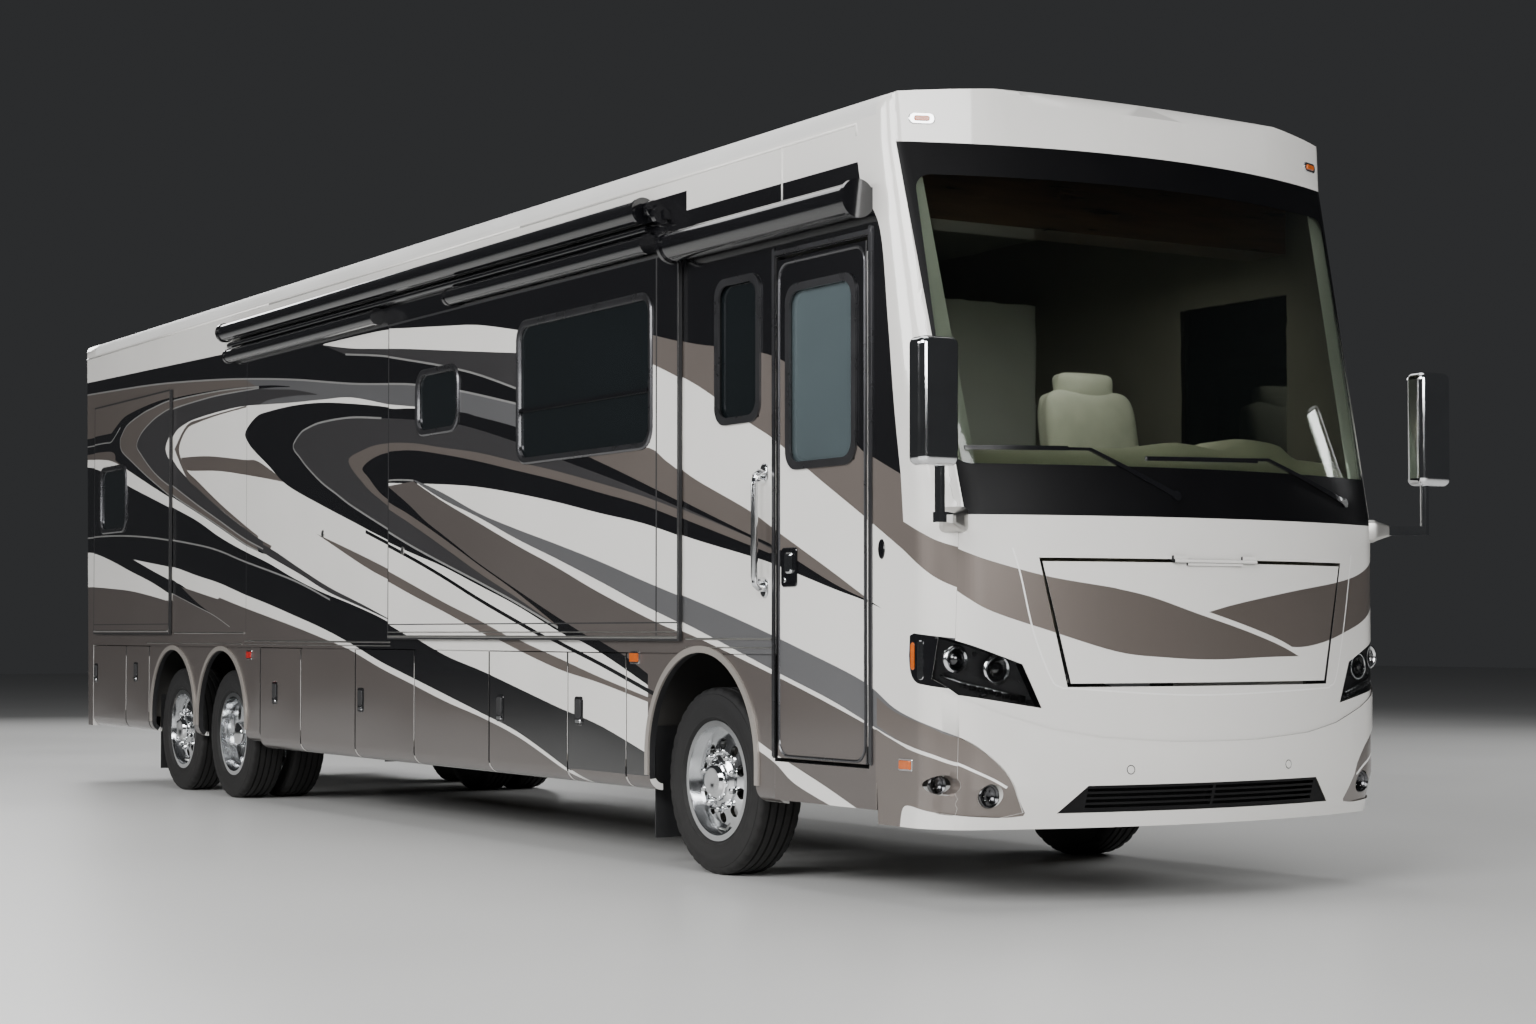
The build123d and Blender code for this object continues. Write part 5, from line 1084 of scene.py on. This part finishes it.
# Raised belt trims by panel, its side and outer face, as (y rear, y front, z, height); section as (out, up)
WALL_FACE = 1.3
SLIDE_FACE = 1.328
BELTS = {
    ("right_wall", -1, WALL_FACE): [(2.45, -0.15, 1.143, 0.012), (2.45, -0.15, 1.12, 0.007),
                                    (-3.9, -4.72, 1.172, 0.012), (-3.9, -4.72, 1.13, 0.007),
                                    (4, 2.47, 1.2, 0.012), (4.65, 2.52, 1.122, 0.008)],
    ("mid_slide", -1, SLIDE_FACE): [(-0.19, -3.85, 1.18, 0.014), (-0.19, -3.85, 1.206, 0.007)],
    ("rear_slide", -1, SLIDE_FACE): [(5.97, 4.08, 1.214, 0.012)],
    ("left_slide", 1, SLIDE_FACE): [(1.88, -3.48, 1.18, 0.014), (1.88, -3.48, 1.206, 0.007)],
    ("left_wall", 1, WALL_FACE): [(6.04, 1.95, 1.143, 0.012), (-3.55, -5.56, 1.143, 0.012)],
}
BELT_SECTION = [(-0.002, -1), (0.004, -0.9), (0.0075, -0.35), (0.0075, 0.35), (0.004, 0.9), (-0.002, 1)]
belts = [(place, row) for place, rows in BELTS.items() for row in rows]
for number, ((node, side, face), (rear, front, z, height)) in enumerate(belts):
    rings = [
        [(side * (face + out), y, z + height / 2 * up) for out, up in BELT_SECTION] for y in (rear, front)
    ]
    Heap().loft(rings).make(f"belt_trim_{number}", SATIN, BODY_OF[node])

# Drip rail along the wall's top, with its drop at the front, and a strap behind the entry door
for side in (-1, 1):
    x = side * TRIM_ROOT
    rail = Heap()
    for front, rear in ((-5.45, -2), (-2, 2), (2, 6.3)):
        rail.tube([(x, front, 3.503), (x, rear, 3.503)], 0.0075, 8)
    rail.tube([(x, -5.45, 3.5), (x, -5.45, 3.45)], 0.006, 8)
    rail.make(f"drip_rail_{side + 1}", WHITE, angle=ALL_ROUND)
    strap = Heap().tube([(x, -4.812, 3.225), (x, -4.812, 3.495)], 0.006, 8)
    strap.make(f"wall_strap_{side + 1}", WHITE, angle=ALL_ROUND)

# Raised frame of the entry door's opening and rim of the door itself
door_frame = Heap()
for y in (-4.742, -5.566):
    door_frame.slab(rounded((y - 0.012, y + 0.012), (0.61, 3.03), 0.01), (-TRIM_ROOT, -1.309), 0.004)
door_frame.slab(rounded((-5.578, -4.73), (2.992, 3.012), 0.008), (-TRIM_ROOT, -1.311), 0.004)
door_frame.make("entry_door_frame", TRIM, angle=30)
RIM_SECTION = [(TRIM_ROOT, 0), (1.3055, 0.002), (1.3085, 0.008), (1.3055, 0.014), (TRIM_ROOT, 0.016)]
Heap().loft([
    [(-x, *p) for p in rounded((-5.527 + grow, -4.779 - grow), (0.615 + grow, 2.955 - grow), 0.085 - grow)]
    for x, grow in RIM_SECTION
], closed=True).make("entry_door_rim", TRIM, "entry_door", 30)

# Mullion of the living room window
Heap().box((-1.3165, -1.3375), (-2.06, -3.555), (2.442, 2.462)).make("living_window_bar", GLOSS, "mid_slide")

# Bright sleeve and feet of the grab handle, as (x, z) at the handle's y
HANDLE_Y = -4.66
sleeve = Heap().tube([(x, HANDLE_Y, z) for x, z in (
    (-1.302, 1.415), (-1.335, 1.415), (-1.356, 1.432), (-1.362, 1.47), (-1.362, 1.91), (-1.356, 1.948),
    (-1.335, 1.965), (-1.302, 1.965))], 0.0175, 14)
for z in (1.415, 1.965):
    sleeve.stamp("right_wall", side_ray(-1, HANDLE_Y, z), pill(0.028, 0.046, 0.027), 0.014, 0.005)
sleeve.make("grab_handle_sleeve", POLISHED, angle=40)

# Brackets between the cap and the mirror arms, as (x, y, half width)
BRACKET = ((1.15, -6.03, 0.055), (1.235, -6.1, 0.055), (1.25, -6.115, 0.045), (1.3, -6.16, 0.022))
for side in (-1, 1):
    Heap().loft([
        [(side * (x + a * 0.6), y + a, 1.69 + b) for a, b in pill(half, half, half * 0.4)]
        for x, y, half in BRACKET
    ]).make(f"mirror_bracket_{side + 1}", SATIN, angle=30)

# Louvres on the roof air conditioners
for number, y in enumerate((-3.9, 0.5, 4.6)):
    fins = Heap()
    for side in (-1, 1):
        for k in range(7):
            z = 3.72 + 0.02 * k
            fins.box((side * 0.349, side * 0.355), (y - 0.28, y + 0.28), (z, z + 0.008))
    for k in range(9):
        x = -0.2 + 0.05 * k
        fins.box((x - 0.006, x + 0.006), (y + 0.419, y + 0.425), (3.71, 3.85))
    fins.make(f"air_conditioner_louvres_{number}", MATT)

# Armchairs: crowned leather cushions blown up by a cloth simulation
SEAT_CHANNELS = (-0.17, 0.17)
BACK_LEAN = math.radians(80)
CLOTH_FRAMES = 15
CLOTH_PRESSURE = 4


def cushion(name, size, centre, lean, crown, channels=(), cap=0.012):
    """A crowned pad: size across, deep and thick, leaning back by an angle about X."""
    work = bmesh.new()
    bmesh.ops.create_cube(work, size=2)
    bmesh.ops.subdivide_edges(work, edges=work.edges[:], cuts=11, use_grid_fill=True)
    turn = Matrix.Rotation(lean, 3, "X")
    for v in work.verts:
        u, w, t = v.co
        norm = (abs(u)**7 + abs(w)**7 + abs(t)**5) ** (1 / 7)
        u, w, t = u / norm, w / norm, t / norm
        swell = crown * (1 - u * u) * (1 - w * w) * (1 if t > 0 else 0.2)
        pull = 1 - 0.035 * (1 - abs(t)) * (1 - max(abs(u), abs(w)) ** 2 * 0.5)
        seam = sum(0.009 * math.exp(-((u * size[0] / 2 - c) / 0.007) ** 2) for c in channels) if t > 0 else 0
        thick = t * size[2] / 2 + swell * (t > 0) - seam
        v.co = turn @ Vector((u * size[0] / 2 * pull, w * size[1] / 2 * pull, thick)) + Vector(centre)
    mesh = bpy.data.meshes.new(name)
    work.to_mesh(mesh)
    work.free()
    mesh.materials.append(LEATHER)
    mesh.polygons.foreach_set("use_smooth", [True] * len(mesh.polygons))
    made = bpy.data.objects.new(name, mesh)
    bpy.context.scene.collection.objects.link(made)
    cloth = made.modifiers.new("cloth", "CLOTH")
    cloth.settings.use_pressure = True
    cloth.settings.uniform_pressure_force = CLOTH_PRESSURE
    cloth.settings.effector_weights.gravity = 0
    cloth.settings.quality = 4
    for step in range(CLOTH_FRAMES):
        bpy.context.scene.frame_set(step + 1)
    blown = made.evaluated_get(bpy.context.evaluated_depsgraph_get()).data
    shifts = [b.co - a.co for a, b in zip(mesh.vertices, blown.vertices)]
    made.modifiers.remove(cloth)
    for v, shift in zip(mesh.vertices, shifts):
        v.co += shift * min(1, cap / max(shift.length, TINY))
    bpy.context.scene.frame_set(1)
    finer = made.modifiers.new("finer", "SUBSURF")
    finer.levels = 1
    finer.render_levels = 1
    smooth_mesh = bpy.data.meshes.new_from_object(made.evaluated_get(bpy.context.evaluated_depsgraph_get()))
    made.modifiers.remove(finer)
    made.data = smooth_mesh
    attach(made, "body")
    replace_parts(made, "cab_seats")


for x, label in ((-0.56, "passenger"), (0.6, "driver")):
    cushion(f"{label}_seat_cushion", (0.53, 0.49, 0.14), (x, -5.01, 1.597), 0, 0.022, SEAT_CHANNELS)
    cushion(f"{label}_seat_back", (0.62, 0.82, 0.12), (x, -4.763, 2.05), BACK_LEAN, 0.02, SEAT_CHANNELS)
    cushion(f"{label}_headrest", (0.36, 0.19, 0.09), (x, -4.69, 2.44), math.radians(84), 0.012, cap=0.008)
    plinth = Heap().box((x - 0.125, x + 0.125), (-5.115, -4.825), (1.195, 1.525))
    for k in (-1, 1):
        place = (x + k * 0.2925, -4.99, 1.703)
        cushion(f"{label}_arm_{k + 1}", (0.08, 0.37, 0.06), place, 0, 0.006, cap=0.006)
        plinth.box((x + k * 0.27, x + k * 0.3), (-5.1, -4.86), (1.56, 1.675))
    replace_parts(plinth.make(f"{label}_seat_plinth", MATT), "cab_seats")

# Padded dash top with two humps, as wide as the screen, above the CAD dash
PAD_STEPS = 30
PAD_HALF_WIDTH = 1.14
rings = []
for k in range(PAD_STEPS + 1):
    x = -PAD_HALF_WIDTH + 2 * PAD_HALF_WIDTH * k / PAD_STEPS
    front = seat("windshield", front_ray(x, 1.9))[0].y + 0.05
    top = 2.035 + 0.04 * math.exp(-((x - 0.08) / 0.22) ** 2) + 0.075 * math.exp(-((x - 0.55) / 0.2) ** 4)
    rings.append([(x, y, z) for y, z in (
        (front, 1.72), (front, 1.86), (front + 0.05, 1.955), (front + 0.15, top - 0.02), (front + 0.26, top),
        (-5.76, top - 0.005), (-5.71, top - 0.04), (-5.7, 1.72))])
Heap().loft(rings).make("dash_pad", DASH, angle=50)

# Rear cap bands that go on from the sides, as (x, z)
REAR_PAINT = [
    region(BLACK, [(-1.4, 3.3), (-0.7, 3.27), (0, 3.26), (0.7, 3.27), (1.4, 3.3)],
           [(1.4, 1.9), (0, 1.86), (-1.4, 1.9)]),
    region(TAUPE, [(-1.4, 3.2), (0, 3.16), (1.4, 3.2)], [(1.4, 2.66), (0, 2.62), (-1.4, 2.66)]),
    region(WHITE, [(-1.4, 2.655), (0, 2.615), (1.4, 2.655)], [(1.4, 2.605), (0, 2.565), (-1.4, 2.605)]),
    region(DEEP_TAUPE, [(-1.4, 1.585), (0, 1.545), (1.4, 1.585)], [(1.4, 0.3), (-1.4, 0.3)]),
    stripe(SILVER, [(-1.4, 3.2), (0, 3.16), (1.4, 3.2)]),
    stripe(SILVER, [(-1.4, 1.995), (0, 1.95), (1.4, 1.995)]),
]
for node in ("rear_cap", "engine_door"):
    skin(f"{node}_skin_rear", node, (0, 1), REAR_PAINT, WHITE, lambda c, n: n.y > abs(n.x) and c.y > 6.15)

# Floor
FLOOR_REACH = 60
floor_mesh = bpy.data.meshes.new("floor")
floor_corners = [(a * FLOOR_REACH, b * FLOOR_REACH, 0) for a, b in ((-1, -1), (1, -1), (1, 1), (-1, 1))]
floor_mesh.from_pydata(floor_corners, [], [(0, 1, 2, 3)])
floor = bpy.data.objects.new("floor", floor_mesh)
bpy.context.scene.collection.objects.link(floor)
floor_mesh.materials.append(material("studio_floor", (0.62, 0.62, 0.61), 0.35, mottle=(0.02, 0.4, 0.05)))


# Studio lights, and a dim one in the cab so that the cabin reads through the windshield
def area_light(name, place, target, size, power, shiny=True):
    data = bpy.data.lights.new(name, "AREA")
    data.shape = "RECTANGLE"
    data.size, data.size_y = size
    data.energy = power
    light = bpy.data.objects.new(name, data)
    light.location = place
    light.rotation_euler = (Vector(target) - Vector(place)).to_track_quat("-Z", "Y").to_euler()
    light.visible_glossy = shiny
    light.visible_camera = False
    light.visible_transmission = False
    bpy.context.scene.collection.objects.link(light)


area_light("cab_light", (0, -5.1, 3.05), (0, -5.1, 0), (1.4, 0.5), 13, False)
area_light("key_light", (-15, -13, 10), (0, -2, 1.5), (10, 6), 3000)
area_light("nose_light", (-4, -19, 6), (0, -6, 1.6), (7, 5), 1400)
area_light("side_light", (-17, 2, 7), (0, 1, 1.6), (12, 4), 2050)
area_light("top_light", (0, 0, 11), (0, 0, 0), (8, 18), 900)
area_light("far_side_light", (16, -2, 9), (0, 0, 1.6), (12, 6), 1300, False)
area_light("back_light", (4, 18, 8), (0, 4, 2), (10, 5), 1000)
world = bpy.data.worlds.new("studio")
world.use_nodes = True
world.node_tree.nodes["Background"].inputs["Color"].default_value = (0.62, 0.64, 0.67, 1)
world.node_tree.nodes["Background"].inputs["Strength"].default_value = 0.05
bpy.context.scene.world = world
